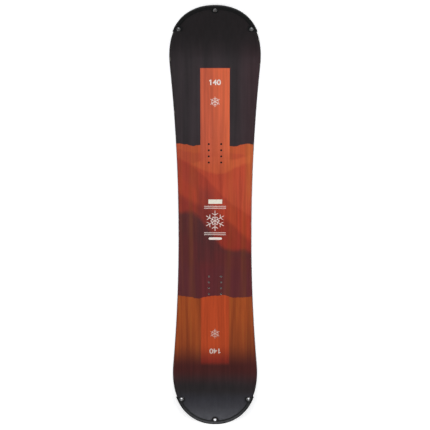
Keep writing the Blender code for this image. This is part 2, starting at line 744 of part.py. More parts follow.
def make_guard_bolts():
    """Button-head bolts from above, each in a sleeve nut that is let into the lower flange."""
    steel = material("bolt_zinc", (0.75, 0.75, 0.76), 0.25, 1.0)
    dark = material("nut_zinc", (0.55, 0.55, 0.56), 0.35, 1.0)
    seat = TIP_TOP + SEAT_GAP + GUARD_TOP + SEAT_GAP / 2
    foot = -SEAT_GAP - GUARD_BOTTOM
    sleeve = TIP_TOP - foot - SEAT_GAP
    bottom = foot + NUT_FLANGE_THICKNESS
    crown = [(BOLT_HEAD / 2 * math.sin(turn), BOLT_HEAD_HEIGHT * math.cos(turn))
             for turn in np.linspace(0, math.pi / 2, CROWN_STEPS + 1)]
    shank = BOLT_SHANK / 2
    stem = [(shank, 0.0), (shank, bottom - seat), (0.0, bottom - seat)]
    bore, barrel, flange = NUT_BORE / 2, NUT_BARREL / 2, NUT_FLANGE / 2
    ring = [(bore, sleeve), (barrel, sleeve), (barrel, NUT_FLANGE_THICKNESS),
            (flange, NUT_FLANGE_THICKNESS), (flange, 0.0), (bore, 0.0)]
    for name, _ in TIPS:
        for end, x, along in BOLTS[name]:
            place = place_on(x, along, seat)
            bolt = turned(f"{name}_bolt_{end}", crown + stem, place, steel, BOLT_FACETS)
            cut_socket(bolt, place_on(x, along, seat + BOLT_HEAD_HEIGHT - HEX_DEPTH))
            turned(f"{name}_nut_{end}", ring, place_on(x, along, foot), dark)


def cut_socket(bolt, place):
    """Hexagon socket in a bolt's head."""
    bpy.ops.mesh.primitive_cylinder_add(
        vertices=6, radius=HEX_SIZE / math.sqrt(3), depth=2 * BOLT_HEAD_HEIGHT)
    socket = hide_cutter(bpy.context.active_object, "cut_socket_" + bolt.name)
    socket.matrix_world = place @ Matrix.Translation((0, 0, BOLT_HEAD_HEIGHT))
    cut = bolt.modifiers.new("socket", "BOOLEAN")
    cut.operation = "DIFFERENCE"
    cut.solver = "EXACT"
    cut.object = socket


make_base_sheet()
make_edges()
make_edge_rubbers()
make_lower_glass()
make_core()
make_sidewalls()
make_spacers()
make_upper_skins()
make_inserts()
make_guards()
make_guard_bolts()
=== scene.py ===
import math

import bmesh
import bpy
import numpy as np
from mathutils import Matrix, Vector


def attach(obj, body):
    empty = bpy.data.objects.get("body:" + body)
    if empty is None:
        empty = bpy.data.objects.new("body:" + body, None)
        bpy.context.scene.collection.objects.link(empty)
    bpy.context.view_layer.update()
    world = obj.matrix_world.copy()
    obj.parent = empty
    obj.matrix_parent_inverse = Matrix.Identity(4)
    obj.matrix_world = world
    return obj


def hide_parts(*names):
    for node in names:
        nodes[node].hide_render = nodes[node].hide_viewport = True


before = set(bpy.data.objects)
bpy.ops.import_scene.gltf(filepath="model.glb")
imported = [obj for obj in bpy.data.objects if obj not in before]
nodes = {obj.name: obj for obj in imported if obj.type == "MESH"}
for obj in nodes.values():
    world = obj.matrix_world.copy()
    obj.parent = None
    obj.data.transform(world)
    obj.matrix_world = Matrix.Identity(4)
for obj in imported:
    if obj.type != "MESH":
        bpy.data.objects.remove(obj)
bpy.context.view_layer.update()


# The running base is one sheet of black sintered polyethylene inside the steel edge. It is stone
# ground and waxed. Like every layer above it, it is cut flat and pressed in a mould to a low
# camber, flats under both feet and a turned-up nose and tail.
BOARD_LENGTH = 1.400
WAIST_WIDTH = 0.2395
SIDECUT_RADIUS = 5.6
WAIST_SETBACK = 0.010
NOSE_LENGTH = 0.195
TAIL_LENGTH = 0.203
TIP_FULLNESS = 2.1
CAMBER_HEIGHT = 0.004
STANCE = 0.4424
FOOT_FLAT_LENGTH = 0.125
ROCKER_RADIUS = 5.5
KICK_LENGTH = 0.170
KICK_RADIUS = 0.400
BOLT_INSET = 0.0112
NOSE_BOLT_REACH = 0.0764
TAIL_BOLT_REACH = 0.0815
BOLT_SHANK = 0.0046
HOLE_GAP = 0.0002
NUT_BORE = BOLT_SHANK + 2 * HOLE_GAP
NUT_WALL = 0.0008
NUT_BARREL = NUT_BORE + 2 * NUT_WALL
TURNED_SIDES = 40
WELD = 2e-6
HALF_LENGTH = BOARD_LENGTH / 2
CAMBER_END = (STANCE - FOOT_FLAT_LENGTH) / 2
ROCKER_START = (STANCE + FOOT_FLAT_LENGTH) / 2
CONTACT = HALF_LENGTH - KICK_LENGTH
BOND = 0.0001
BASE_THICKNESS = 0.0012
EDGE_WIDTH = 0.0020
RIM_POINTS = 281
LAYER_COLUMNS = 20
SIDE_STEP = 0.0005
SIDE_SPARE = 0.012
UNDER_BOARD = -0.01
OVER_BOARD = 0.02
RIM_SAMPLES = 1200
SHARP_ANGLE = math.radians(32.0)
BASE_BLACK = (0.012, 0.012, 0.013, 1.0)
BASE_WAXED = (0.022, 0.022, 0.024, 1.0)


def side_angle(reach):
    """Angle of the base to the floor at a distance from the middle of the board."""
    camber = -CAMBER_HEIGHT * math.pi / (2 * CAMBER_END) * np.sin(math.pi * reach / CAMBER_END)
    rocker = (reach - ROCKER_START) / ROCKER_RADIUS
    kick = (CONTACT - ROCKER_START) / ROCKER_RADIUS + (reach - CONTACT) / KICK_RADIUS
    return np.select([reach < CAMBER_END, reach < ROCKER_START, reach < CONTACT],
                     [camber, 0.0 * reach, rocker], kick)


side_reach = np.arange(0.0, HALF_LENGTH + SIDE_SPARE, SIDE_STEP)
side_middle = side_angle(side_reach[:-1] + SIDE_STEP / 2)
side_y = np.concatenate([[0.0], np.cumsum(SIDE_STEP * np.cos(side_middle))])
side_z = CAMBER_HEIGHT + np.concatenate([[0.0], np.cumsum(SIDE_STEP * np.sin(side_middle))])


def both_ways(values, sign):
    """Values out from the middle of the board to the nose, carried on to the tail by a sign."""
    return np.concatenate([sign * values[:0:-1], values])


SIDE_ALONG = both_ways(side_reach, -1)
SIDE_Y = both_ways(side_y, -1)
SIDE_Z = both_ways(side_z, 1)
SIDE_ANGLE = both_ways(side_angle(side_reach), -1)


def on_board(x, along, height):
    """Where a point of a flat layer goes in the press: x across, along the base, height square to it."""
    angle = np.interp(along, SIDE_ALONG, SIDE_ANGLE)
    y = np.interp(along, SIDE_ALONG, SIDE_Y) - height * np.sin(angle)
    z = np.interp(along, SIDE_ALONG, SIDE_Z) + height * np.cos(angle)
    return np.stack(np.broadcast_arrays(x, y, z), axis=-1)


def rim(inset, samples=RIM_SAMPLES):
    """Toe-side outline from tail tip to nose tip, moved inward by the inset, as x and along."""
    turn = np.linspace(0, math.pi / 2, samples)
    nose_start = HALF_LENGTH - NOSE_LENGTH
    tail_start = HALF_LENGTH - TAIL_LENGTH
    nose = nose_start + NOSE_LENGTH * np.sin(turn) ** (2 / TIP_FULLNESS)
    tail = tail_start + TAIL_LENGTH * np.sin(turn) ** (2 / TIP_FULLNESS)
    closing = np.cos(turn) ** (2 / TIP_FULLNESS)
    waist = np.linspace(-tail_start, nose_start, samples)[1:-1]
    along = np.concatenate([-tail[::-1], waist, nose])
    share = np.concatenate([closing[::-1], np.ones(len(waist)), closing])
    across = share * (WAIST_WIDTH / 2 + (along + WAIST_SETBACK) ** 2 / (2 * SIDECUT_RADIUS))
    run_x, run_y = np.gradient(across), np.gradient(along)
    length = np.hypot(run_x, run_y)
    return across - inset * run_y / length, along + inset * run_x / length


def rim_run(across, along):
    """Distance run along an outline to each of its points."""
    return np.concatenate([[0.0], np.cumsum(np.hypot(np.diff(across), np.diff(along)))])


def rim_points(inset, count=RIM_POINTS):
    """Evenly spaced points of the toe-side outline, ending on the middle line at both tips."""
    across, along = rim(inset)
    run = rim_run(across, along)
    stops = np.linspace(0.0, run[-1], count)
    x = np.interp(stops, run, across)
    x[0] = x[-1] = 0.0
    return x, np.interp(stops, run, along)


def in_scene(name, data):
    """A new object of the scene that holds a mesh, a curve, a light or a camera."""
    obj = bpy.data.objects.new(name, data)
    bpy.context.scene.collection.objects.link(obj)
    return obj


def mesh_piece(name, points, faces):
    """An object made of points and faces."""
    mesh = bpy.data.meshes.new(name)
    mesh.from_pydata([tuple(p) for p in points], [], faces)
    mesh.validate()
    return in_scene(name, mesh)


def pressed_layer(name, steps, across=LAYER_COLUMNS):
    """A closed layer: steps lists (inset, height) up its rim, from its underside to its top."""
    points, grids = [], []
    for level, (inset, height) in enumerate(steps):
        half, along = rim_points(inset)
        columns = across if level in (0, len(steps) - 1) else 1
        lift = height(along) if callable(height) else np.full(len(along), height)
        grid = np.zeros((len(along), columns + 1), int)
        for row in range(len(along)):
            tip = row in (0, len(along) - 1)
            shares = np.array([0.0]) if tip else np.linspace(-1.0, 1.0, columns + 1)
            grid[row] = len(points) + (np.zeros(columns + 1) if tip else np.arange(columns + 1))
            points.extend(on_board(half[row] * shares, along[row], lift[row]))
        grids.append(grid)
    faces = []
    for grid, up in ((grids[0], False), (grids[-1], True)):
        for row in range(len(grid) - 1):
            for column in range(across):
                quad = [grid[row, column], grid[row, column + 1],
                        grid[row + 1, column + 1], grid[row + 1, column]]
                faces.append(quad if up else quad[::-1])
    for low, high in zip(grids, grids[1:]):
        for row in range(len(low) - 1):
            toe = [low[row, -1], low[row + 1, -1], high[row + 1, -1], high[row, -1]]
            heel = [low[row, 0], high[row, 0], high[row + 1, 0], low[row + 1, 0]]
            faces.extend([toe, heel])
    faces = [list(dict.fromkeys(int(i) for i in face)) for face in faces]
    return mesh_piece(name, points, [face for face in faces if len(face) > 2])


def welded(piece):
    """Merge a closed piece's doubles and turn its faces outward."""
    bm = bmesh.new()
    bm.from_mesh(piece.data)
    bmesh.ops.remove_doubles(bm, verts=bm.verts, dist=WELD)
    bmesh.ops.dissolve_degenerate(bm, edges=bm.edges, dist=WELD / 2)
    bmesh.ops.recalc_face_normals(bm, faces=bm.faces)
    bm.to_mesh(piece.data)
    bm.free()
    return piece


def toward(tip, values):
    """Rim values in order toward a tip: 1 is the nose and -1 the tail."""
    return values if tip > 0 else values[::-1]


def end_bolts(tip):
    """Distance toward a tip of the bolts at its guard's ends."""
    return HALF_LENGTH - (NOSE_BOLT_REACH if tip > 0 else TAIL_BOLT_REACH)


def bolt_places(tip):
    """Flat places (x, along) of a guard's heel, centre and toe bolts."""
    across, along = rim(BOLT_INSET)
    half = float(np.interp(end_bolts(tip), toward(tip, along * tip), toward(tip, across)))
    return [(-half, tip * end_bolts(tip)), (0.0, tip * (HALF_LENGTH - BOLT_INSET)),
            (half, tip * end_bolts(tip))]


def as_built(obj):
    """An object's mesh with its modifiers carried out."""
    bpy.context.view_layer.update()
    graph = bpy.context.evaluated_depsgraph_get()
    return bpy.data.meshes.new_from_object(obj.evaluated_get(graph))


def cut(piece, cutter_mesh, operation="DIFFERENCE"):
    """Cut a closed mesh out of a piece, or join it on, and keep the result as its own mesh."""
    cutter = in_scene("cutter", cutter_mesh)
    modifier = piece.modifiers.new("cut", "BOOLEAN")
    modifier.operation = operation
    modifier.solver = "EXACT"
    modifier.object = cutter
    mesh = as_built(piece)
    piece.modifiers.remove(modifier)
    piece.data = mesh
    bpy.data.objects.remove(cutter)


def add_rod(bm, diameter, length, place, sides=TURNED_SIDES):
    """Model a closed rod, upright about its middle until it is placed."""
    bmesh.ops.create_cone(bm, cap_ends=True, segments=sides, radius1=diameter / 2,
                          radius2=diameter / 2, depth=length, matrix=place)


def as_mesh(name, bm):
    """A new mesh of what has been modelled."""
    mesh = bpy.data.meshes.new(name)
    bm.to_mesh(mesh)
    bm.free()
    return mesh


def drill(piece, places, diameter, low=UNDER_BOARD, high=OVER_BOARD):
    """Bore a piece square to the board at flat places (x, along), from one height to another."""
    bores = bmesh.new()
    for x, along in places:
        foot, top = Vector(on_board(x, along, low)), Vector(on_board(x, along, high))
        turn = (top - foot).to_track_quat("Z", "Y").to_matrix().to_4x4()
        add_rod(bores, diameter, (top - foot).length, Matrix.Translation((foot + top) / 2) @ turn)
    cut(piece, as_mesh("bores", bores))


def put_on(piece, slot, *replaced):
    """Shade a finished piece, and let it ride with the board in place of what it stands for."""
    piece.data.shade_smooth()
    piece.data.set_sharp_from_angle(angle=SHARP_ANGLE)
    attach(piece, "root")
    if replaced:
        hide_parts(*replaced)


def feed(tree, socket, value):
    """Link an output to a socket, or set the socket's own value."""
    if isinstance(value, bpy.types.NodeSocket):
        tree.links.new(value, socket)
    else:
        socket.default_value = value


def add_node(tree, kind, inputs, **settings):
    """A node with its settings made and its inputs fed, by name or number."""
    node = tree.nodes.new(kind)
    for setting, value in settings.items():
        setattr(node, setting, value)
    for socket, value in inputs.items():
        feed(tree, node.inputs[socket], value)
    return node


def add_math(tree, operation, *values):
    """Output of a node that does one sum."""
    return add_node(tree, "ShaderNodeMath", dict(enumerate(values)), operation=operation).outputs[0]


def add_range(tree, value, low, high, out_low, out_high, way):
    """Output of a node that carries a value from one range to another."""
    return add_node(tree, "ShaderNodeMapRange", {
        "Value": value, "From Min": low, "From Max": high, "To Min": out_low, "To Max": out_high},
        interpolation_type=way).outputs[0]


class Finish:
    """A material in the making: most methods add one node and give back its output."""

    def __init__(self, name, **sockets):
        self.material = bpy.data.materials.new(name)
        self.material.use_nodes = True
        self.tree = self.material.node_tree
        self.shader = self.tree.nodes["Principled BSDF"]
        for socket, value in sockets.items():
            self.shader.inputs[socket.replace("_", " ")].default_value = value
        self.place = add_node(self.tree, "ShaderNodeTexCoord", {}).outputs["Object"]
        self.x, self.y = add_node(self.tree, "ShaderNodeSeparateXYZ", {0: self.place}).outputs[:2]

    def math(self, operation, *values):
        """One sum on values."""
        return add_math(self.tree, operation, *values)

    def times(self, first, second):
        """Product of two values."""
        return self.math("MULTIPLY", first, second)

    def noise(self, scale, drawn=1.0, detail=3.0, roughness=0.55, shift=(0, 0, 0)):
        """Noise on the piece, its features drawn out along the board."""
        vector = add_node(self.tree, "ShaderNodeMapping", {
            "Vector": self.place, "Scale": (1.0, 1.0 / drawn, 1.0), "Location": shift}).outputs[0]
        return add_node(self.tree, "ShaderNodeTexNoise", {
            "Vector": vector, "Scale": scale, "Detail": detail, "Roughness": roughness}).outputs[0]

    def between(self, value, low, high, out_low=0.0, out_high=1.0):
        """Smooth step of a value from one bound to the other."""
        return add_range(self.tree, value, low, high, out_low, out_high, "SMOOTHSTEP")

    def mix(self, share, first, second, blend="MIX"):
        """Blend of two colours."""
        node = add_node(self.tree, "ShaderNodeMix", {0: share}, data_type="RGBA", blend_type=blend)
        feed(self.tree, node.inputs[6], first)
        feed(self.tree, node.inputs[7], second)
        return node.outputs[2]

    def attribute(self, name):
        """A value stored on the points of the piece."""
        return add_node(self.tree, "ShaderNodeAttribute", {}, attribute_name=name).outputs["Fac"]

    def colour(self, value):
        """Feed the base colour."""
        feed(self.tree, self.shader.inputs["Base Color"], value)

    def roughness(self, value):
        """Feed the roughness."""
        feed(self.tree, self.shader.inputs["Roughness"], value)

    def relief(self, height, depth):
        """Bump of the given depth in metres."""
        bump = add_node(self.tree, "ShaderNodeBump", {"Height": height, "Distance": depth})
        feed(self.tree, self.shader.inputs["Normal"], bump.outputs[0])

    def dress(self, *pieces):
        """Make this the only material of the pieces."""
        for piece in pieces:
            piece.data.materials.clear()
            piece.data.materials.append(self.material)


BOLTS = bolt_places(1) + bolt_places(-1)
NUT_HOLE = NUT_BARREL + 2 * HOLE_GAP
base = pressed_layer("running_base", [
    (EDGE_WIDTH + BOND, 0.0),
    (EDGE_WIDTH + BOND, BASE_THICKNESS),
])
drill(base, BOLTS, NUT_HOLE)
put_on(base, "running_base", "base_sheet")
waxed = Finish("waxed_base", Roughness=0.42)
structure = waxed.noise(900.0, drawn=60.0, detail=2.0)
haze = waxed.noise(14.0, drawn=3.0, detail=4.0)
waxed.colour(waxed.mix(waxed.between(haze, 0.35, 0.7), BASE_BLACK, BASE_WAXED))
waxed.roughness(waxed.between(haze, 0.3, 0.75, 0.34, 0.5))
waxed.relief(structure, 0.00006)
waxed.dress(base)


# The steel edge is a hardened strip that wraps the whole board in two halves, butted at the tips.
# Its rail stands beside the base, and thin teeth reach in over it to be bonded under the glass.
EDGE_TOP = 0.0019
EDGE_BEVEL = 0.00018
EDGE_BUTT = 0.00015
EDGE_GRIND = 0.00006
TOOTH_LEVEL = BASE_THICKNESS + BOND
TOOTH_THICKNESS = 0.00055
TOOTH_DEPTH = 0.0050
TOOTH_LENGTH = 0.028
TOOTH_GAP = 0.022
TOOTH_CUTS = 9
TOOTH_ROOT = EDGE_WIDTH / 2
RAIL_POINTS = 2 * RIM_POINTS
TOOTH_LINE_POINTS = 4 * RIM_POINTS
TIP_CLEAR = 8
SIDES = (("toe", 1), ("heel", -1))
STEEL = (0.36, 0.36, 0.37, 1.0)
STEEL_BRIGHT = (0.58, 0.58, 0.60, 1.0)
STEEL_RUST = (0.16, 0.08, 0.04, 1.0)


def rail_rings(side):
    """One half of the rail: a ring of points round its section at each point of the rim."""
    face, bevel = EDGE_GRIND, EDGE_GRIND + EDGE_BEVEL
    section = [(bevel, 0.0), (face, EDGE_BEVEL), (face, EDGE_TOP - EDGE_BEVEL), (bevel, EDGE_TOP),
               (EDGE_WIDTH, EDGE_TOP), (EDGE_WIDTH, 0.0)]
    lines = []
    for inset, height in section:
        half, along = rim_points(inset, RAIL_POINTS)
        lines.append(on_board(side * np.maximum(half, EDGE_BUTT), along, height))
    return np.stack(lines, axis=1)


def swept(name, rings, flip=False):
    """A closed piece along a row of equal rings of points, capped at both ends."""
    count, corners = rings.shape[:2]
    faces = [[row * corners + i, row * corners + (i + 1) % corners,
              (row + 1) * corners + (i + 1) % corners, (row + 1) * corners + i]
             for row in range(count - 1) for i in range(corners)]
    faces += [list(range(corners))[::-1], [(count - 1) * corners + i for i in range(corners)]]
    if flip:
        faces = [face[::-1] for face in faces]
    return mesh_piece(name, rings.reshape(-1, 3), faces)


def new_tree(name, sockets):
    """An empty Geometry Nodes tree with a geometry input and output and the named inputs."""
    tree = bpy.data.node_groups.new(name, "GeometryNodeTree")
    tree.interface.new_socket("Geometry", in_out="INPUT", socket_type="NodeSocketGeometry")
    for label, kind in sockets.items():
        tree.interface.new_socket(label, in_out="INPUT", socket_type="NodeSocket" + kind)
    tree.interface.new_socket("Geometry", in_out="OUTPUT", socket_type="NodeSocketGeometry")
    return tree, tree.nodes.new("NodeGroupInput").outputs


def end_tree(tree, geometry, material):
    """Close a tree: real geometry with its material."""
    real = add_node(tree, "GeometryNodeRealizeInstances", {"Geometry": geometry}).outputs[0]
    dressed = add_node(tree, "GeometryNodeSetMaterial", {"Geometry": real, "Material": material}).outputs[0]
    add_node(tree, "NodeGroupOutput", {"Geometry": dressed})


def run_tree(carrier, tree, values, name):
    """Evaluate a tree on an object, and keep the result as a plain mesh piece."""
    modifier = carrier.modifiers.new("made", "NODES")
    modifier.node_group = tree
    for item in tree.interface.items_tree:
        if item.in_out == "INPUT" and item.name in values:
            modifier[item.identifier] = values[item.name]
    mesh = as_built(carrier)
    mesh.name = name
    carrier.modifiers.remove(modifier)
    bpy.data.objects.remove(carrier)
    return in_scene(name, mesh)


def tooth_tree():
    """Teeth set along a line at an even pitch, square to it."""
    tree, given = new_tree("edge_teeth", {
        "Tooth Length": "Float", "Tooth Depth": "Float", "Tooth Thickness": "Float",
        "Tooth Gap": "Float", "Cuts": "Int", "Material": "Material"})
    pitch = add_math(tree, "ADD", given["Tooth Length"], given["Tooth Gap"])
    line = add_node(tree, "GeometryNodeResampleCurve", {"Curve": given["Geometry"], "Length": pitch},
                    mode="LENGTH").outputs[0]
    tangent = add_node(tree, "GeometryNodeInputTangent", {}).outputs[0]
    turn = add_node(tree, "FunctionNodeAlignRotationToVector", {"Vector": tangent}, axis="X").outputs[0]
    size = add_node(tree, "ShaderNodeCombineXYZ", {
        "X": given["Tooth Length"], "Y": given["Tooth Depth"], "Z": given["Tooth Thickness"]}).outputs[0]
    tooth = add_node(tree, "GeometryNodeMeshCube", {"Size": size, "Vertices X": given["Cuts"]}).outputs[0]
    teeth = add_node(tree, "GeometryNodeInstanceOnPoints", {
        "Points": line, "Instance": tooth, "Rotation": turn}).outputs[0]
    end_tree(tree, teeth, given["Material"])
    return tree


def press_mesh(mesh, lift=lambda along, z: z):
    """Press a mesh that was made flat: lift gives a height above the base from along and z."""
    flat = np.array([v.co for v in mesh.vertices])
    moved = on_board(flat[:, 0], flat[:, 1], lift(flat[:, 1], flat[:, 2]))
    mesh.vertices.foreach_set("co", moved.astype(np.float32).ravel())
    mesh.update()


ground = Finish("ground_steel", Metallic=1.0, Roughness=0.3)
along_lines = ground.noise(2600.0, drawn=40.0, detail=2.0)
spots = ground.noise(160.0, detail=5.0, roughness=0.7)
rusted = ground.between(spots, 0.66, 0.74)
steel_tone = ground.mix(along_lines, STEEL, STEEL_BRIGHT)
ground.colour(ground.mix(rusted, steel_tone, STEEL_RUST))
ground.roughness(ground.between(spots, 0.35, 0.72, 0.24, 0.5))
ground.relief(along_lines, 0.00002)

TOOTH_TREE = tooth_tree()
for side_name, side in SIDES:
    edge_name = "edge_" + side_name
    rail = swept("steel_" + edge_name, rail_rings(side), flip=side > 0)
    half, along = rim_points(EDGE_WIDTH + TOOTH_DEPTH / 2 - TOOTH_ROOT / 2, TOOTH_LINE_POINTS)
    path = np.stack([side * half, along, np.full(len(half), TOOTH_LEVEL + TOOTH_THICKNESS / 2),
                     np.ones(len(half))], axis=1)[TIP_CLEAR:-TIP_CLEAR]
    line = bpy.data.curves.new("tooth_line", "CURVE")
    line.dimensions = "3D"
    spline = line.splines.new("POLY")
    spline.points.add(len(path) - 1)
    spline.points.foreach_set("co", path.astype(np.float32).ravel())
    teeth = run_tree(in_scene("tooth_line", line), TOOTH_TREE, {
        "Tooth Length": TOOTH_LENGTH, "Tooth Depth": TOOTH_DEPTH + TOOTH_ROOT,
        "Tooth Thickness": TOOTH_THICKNESS, "Tooth Gap": TOOTH_GAP, "Cuts": TOOTH_CUTS,
        "Material": ground.material}, "teeth_" + edge_name)
    press_mesh(teeth.data)
    whole = bmesh.new()
    whole.from_mesh(rail.data)
    whole.from_mesh(teeth.data)
    whole.to_mesh(rail.data)
    whole.free()
    bpy.data.objects.remove(teeth)
    ground.dress(rail)
    put_on(rail, "steel_edge", edge_name)


# Thin rubber foil lies over the teeth along both sides, so that steel and glass can move apart a
# little when the board flexes. Only its edge shows, as a dark line above the steel.
RUBBER_LEVEL = TOOTH_LEVEL + TOOTH_THICKNESS + BOND
RUBBER_THICKNESS = 0.0002
RUBBER_MARGIN = 0.0005
FOIL_INSIDE = EDGE_WIDTH + TOOTH_DEPTH + RUBBER_MARGIN
FOIL_TOP = RUBBER_LEVEL + RUBBER_THICKNESS
RUBBER_BLACK = (0.012, 0.012, 0.012, 1.0)


def side_band(name, corners, ends, side):
    """A closed strip along one side: corners lists (inset, height), ends gives its reach at an inset."""
    lines = []
    for inset, height in corners:
        across, along = rim(inset)
        run = np.linspace(*ends(inset), RIM_POINTS)
        lift = height(run) if callable(height) else height
        lines.append(on_board(side * np.interp(run, along, across), run, lift))
    return swept(name, np.stack(lines, axis=1), flip=side > 0)


foil = Finish("foil_rubber", Roughness=0.75)
foil_grain = foil.noise(700.0)
foil.colour(foil.mix(foil_grain, RUBBER_BLACK, BASE_WAXED))
foil.relief(foil_grain, 0.00003)
for side_name, side in SIDES:
    strip = side_band("foil_rubber_" + side_name, [
        (FOIL_INSIDE, RUBBER_LEVEL), (RUBBER_MARGIN, RUBBER_LEVEL), (RUBBER_MARGIN, FOIL_TOP),
        (FOIL_INSIDE, FOIL_TOP)], lambda inset: (-CONTACT, CONTACT), side)
    foil.dress(strip)
    put_on(strip, "rubber_foil", "edge_rubber_" + side_name)


# Glass cloth in clear resin stiffens the board below and above the core. The lower sheet steps up
# over the edge's teeth like the lip of a tray, and the upper one is holed for the binding inserts.
STANCE_SHIFT = 0.003
INSERT_ROWS = 4
ROW_PITCH = 0.020
COLUMN_PITCH = 0.040
INSERT_BARREL = 0.0080
GLASS_THICKNESS = 0.0006
CORE_THICKNESS = 0.0070
CORE_TIP_THICKNESS = 0.0022
SIDEWALL_STEP = 0.0003
SIDEWALL_LEAN = 0.0012
GLASS_LEVEL = BASE_THICKNESS + BOND
GLASS_RIM_LEVEL = FOIL_TOP + BOND
GLASS_RIM_TOP = GLASS_RIM_LEVEL + GLASS_THICKNESS
CORE_LEVEL = GLASS_LEVEL + GLASS_THICKNESS + BOND
TRAY_INSET = EDGE_WIDTH + TOOTH_DEPTH + 2 * RUBBER_MARGIN
TOP_INSET = SIDEWALL_STEP + SIDEWALL_LEAN
WEAVE_PITCH = 0.0022
GLASS_CLEAR = (0.50, 0.55, 0.42, 1.0)
GLASS_WHITE = (0.72, 0.75, 0.64, 1.0)


def core_top(along):
    """Height of the core's top: full between the feet, thinning evenly to the contact points."""
    reach = np.clip((np.abs(along) - ROCKER_START) / (CONTACT - ROCKER_START), 0.0, 1.0)
    return CORE_LEVEL + CORE_THICKNESS + (CORE_TIP_THICKNESS - CORE_THICKNESS) * reach


def above_core(lift):
    """Height function of a surface at a lift over the core."""
    return lambda along: core_top(along) + lift


ROW_PLACES = [(row - (INSERT_ROWS - 1) / 2) * ROW_PITCH for row in range(INSERT_ROWS)]
INSERTS = [(side * COLUMN_PITCH / 2, STANCE_SHIFT + pack * STANCE / 2 + place)
           for pack in (1, -1) for place in ROW_PLACES for side in (1, -1)]
lower_glass = pressed_layer("lower_glass", [
    (TRAY_INSET, GLASS_LEVEL), (TRAY_INSET, GLASS_RIM_LEVEL), (SIDEWALL_STEP, GLASS_RIM_LEVEL),
    (SIDEWALL_STEP, GLASS_RIM_TOP), (TRAY_INSET + GLASS_THICKNESS, GLASS_RIM_TOP),
    (TRAY_INSET + GLASS_THICKNESS, GLASS_LEVEL + GLASS_THICKNESS)])
drill(lower_glass, BOLTS, NUT_HOLE)
put_on(lower_glass, "glass_laminate", "lower_fibreglass")
upper_glass = pressed_layer("upper_glass", [
    (TOP_INSET, above_core(BOND)), (TOP_INSET, above_core(BOND + GLASS_THICKNESS))])
drill(upper_glass, BOLTS, NUT_HOLE)
drill(upper_glass, INSERTS, INSERT_BARREL + 2 * HOLE_GAP)
put_on(upper_glass, "glass_laminate", "upper_fibreglass")
cloth = Finish("glass_cloth", Roughness=0.35, Coat_Weight=0.3, Coat_Roughness=0.2)
warp, weft = (cloth.math("SINE", cloth.times(way, 2 * math.pi / WEAVE_PITCH))
              for way in (cloth.x, cloth.y))
weave = cloth.between(cloth.times(warp, weft), -1.0, 1.0)
blotch = cloth.noise(30.0, detail=4.0)
cloth.colour(cloth.mix(cloth.times(weave, blotch), GLASS_CLEAR, GLASS_WHITE))
cloth.relief(weave, 0.00005)
cloth.dress(lower_glass, upper_glass)


# The core is laminated from upright poplar and paulownia strips, planed to its taper. It is
# hidden for good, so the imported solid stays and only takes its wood.
STRIP_WIDTH = 0.016
WOOD_PALE = (0.66, 0.49, 0.30, 1.0)
WOOD_WARM = (0.46, 0.29, 0.15, 1.0)
wood = Finish("core_wood", Roughness=0.65)
strip_number = wood.math("FLOOR", wood.math("DIVIDE", wood.x, STRIP_WIDTH))
strip_tone = add_node(wood.tree, "ShaderNodeTexWhiteNoise", {"W": strip_number},
                      noise_dimensions="1D").outputs["Value"]
fibre = wood.noise(260.0, drawn=30.0, detail=5.0)
wood.colour(wood.mix(wood.times(strip_tone, fibre), WOOD_PALE, WOOD_WARM))
wood.relief(fibre, 0.0001)
wood.dress(nodes["wood_core"])


# Milled plastic sidewalls close the core along both sides. They lean in toward the top, so that
# the board's flanks shed knocks, and show as a satin black band between the two glass sheets.
SIDEWALL_LEVEL = GLASS_RIM_TOP + BOND
SIDEWALL_INSIDE = TRAY_INSET + GLASS_THICKNESS
CORE_END = 0.075
CORE_END_BULGE = 0.080
SIDEWALL_BLACK = (0.012, 0.012, 0.013, 1.0)
SIDEWALL_SCUFF = (0.07, 0.07, 0.075, 1.0)


def core_reach(x):
    """How far toward the tips the core goes at a distance across the board: its ends are arcs."""
    return HALF_LENGTH - CORE_END - CORE_END_BULGE * (x / (WAIST_WIDTH / 2)) ** 2


def core_ends(inset):
    """Where the line at an inset meets the arcs that end the core, at the tail and at the nose."""
    across, along = rim(inset)
    inside = along[np.abs(along) < core_reach(across)]
    return inside[0], inside[-1]


milled = Finish("milled_sidewall", Roughness=0.42)
marks = milled.noise(500.0, drawn=14.0, detail=4.0, roughness=0.65)
milled.colour(milled.mix(milled.between(marks, 0.56, 0.72), SIDEWALL_BLACK, SIDEWALL_SCUFF))
milled.roughness(milled.between(marks, 0.3, 0.7, 0.34, 0.55))
milled.relief(marks, 0.00006)
for side_name, side in SIDES:
    wall = side_band("milled_sidewall_" + side_name, [
        (SIDEWALL_INSIDE, SIDEWALL_LEVEL), (SIDEWALL_STEP, SIDEWALL_LEVEL), (TOP_INSET, core_top),
        (SIDEWALL_INSIDE, core_top)], core_ends, side)
    milled.dress(wall)
    put_on(wall, "sidewall", "sidewall_" + side_name)


# Past the core's ends the same black plastic carries on as flat spacers, cut to the tip and
# glued between the glass sheets. The guards hide most of their outer faces.
SPACER_POINTS = 200
CORE_INSET = SIDEWALL_INSIDE + BOND
CORE_TOP = CORE_LEVEL + CORE_THICKNESS
PRESS_SLICE = 0.004
TOUCHING = 1e-7
TIPS = (("nose", 1), ("tail", -1))


def crescent(inset, tip):
    """Ring of flat points round a tip: the rim past the core's end, and the arc back."""
    across, along = (toward(tip, v) for v in rim(inset))
    past = along * tip > core_reach(across)
    run = rim_run(across[past], along[past])
    stops = np.linspace(0.0, run[-1], SPACER_POINTS)
    toe = np.stack([np.interp(stops, run, across[past]), np.interp(stops, run, along[past])], axis=1)
    toe[-1, 0] = 0.0
    x = np.linspace(-toe[0, 0], toe[0, 0], SPACER_POINTS)[1:-1]
    return np.concatenate([toe, toe[-2::-1] * (-1, 1), np.stack([x, tip * core_reach(x)], axis=1)])


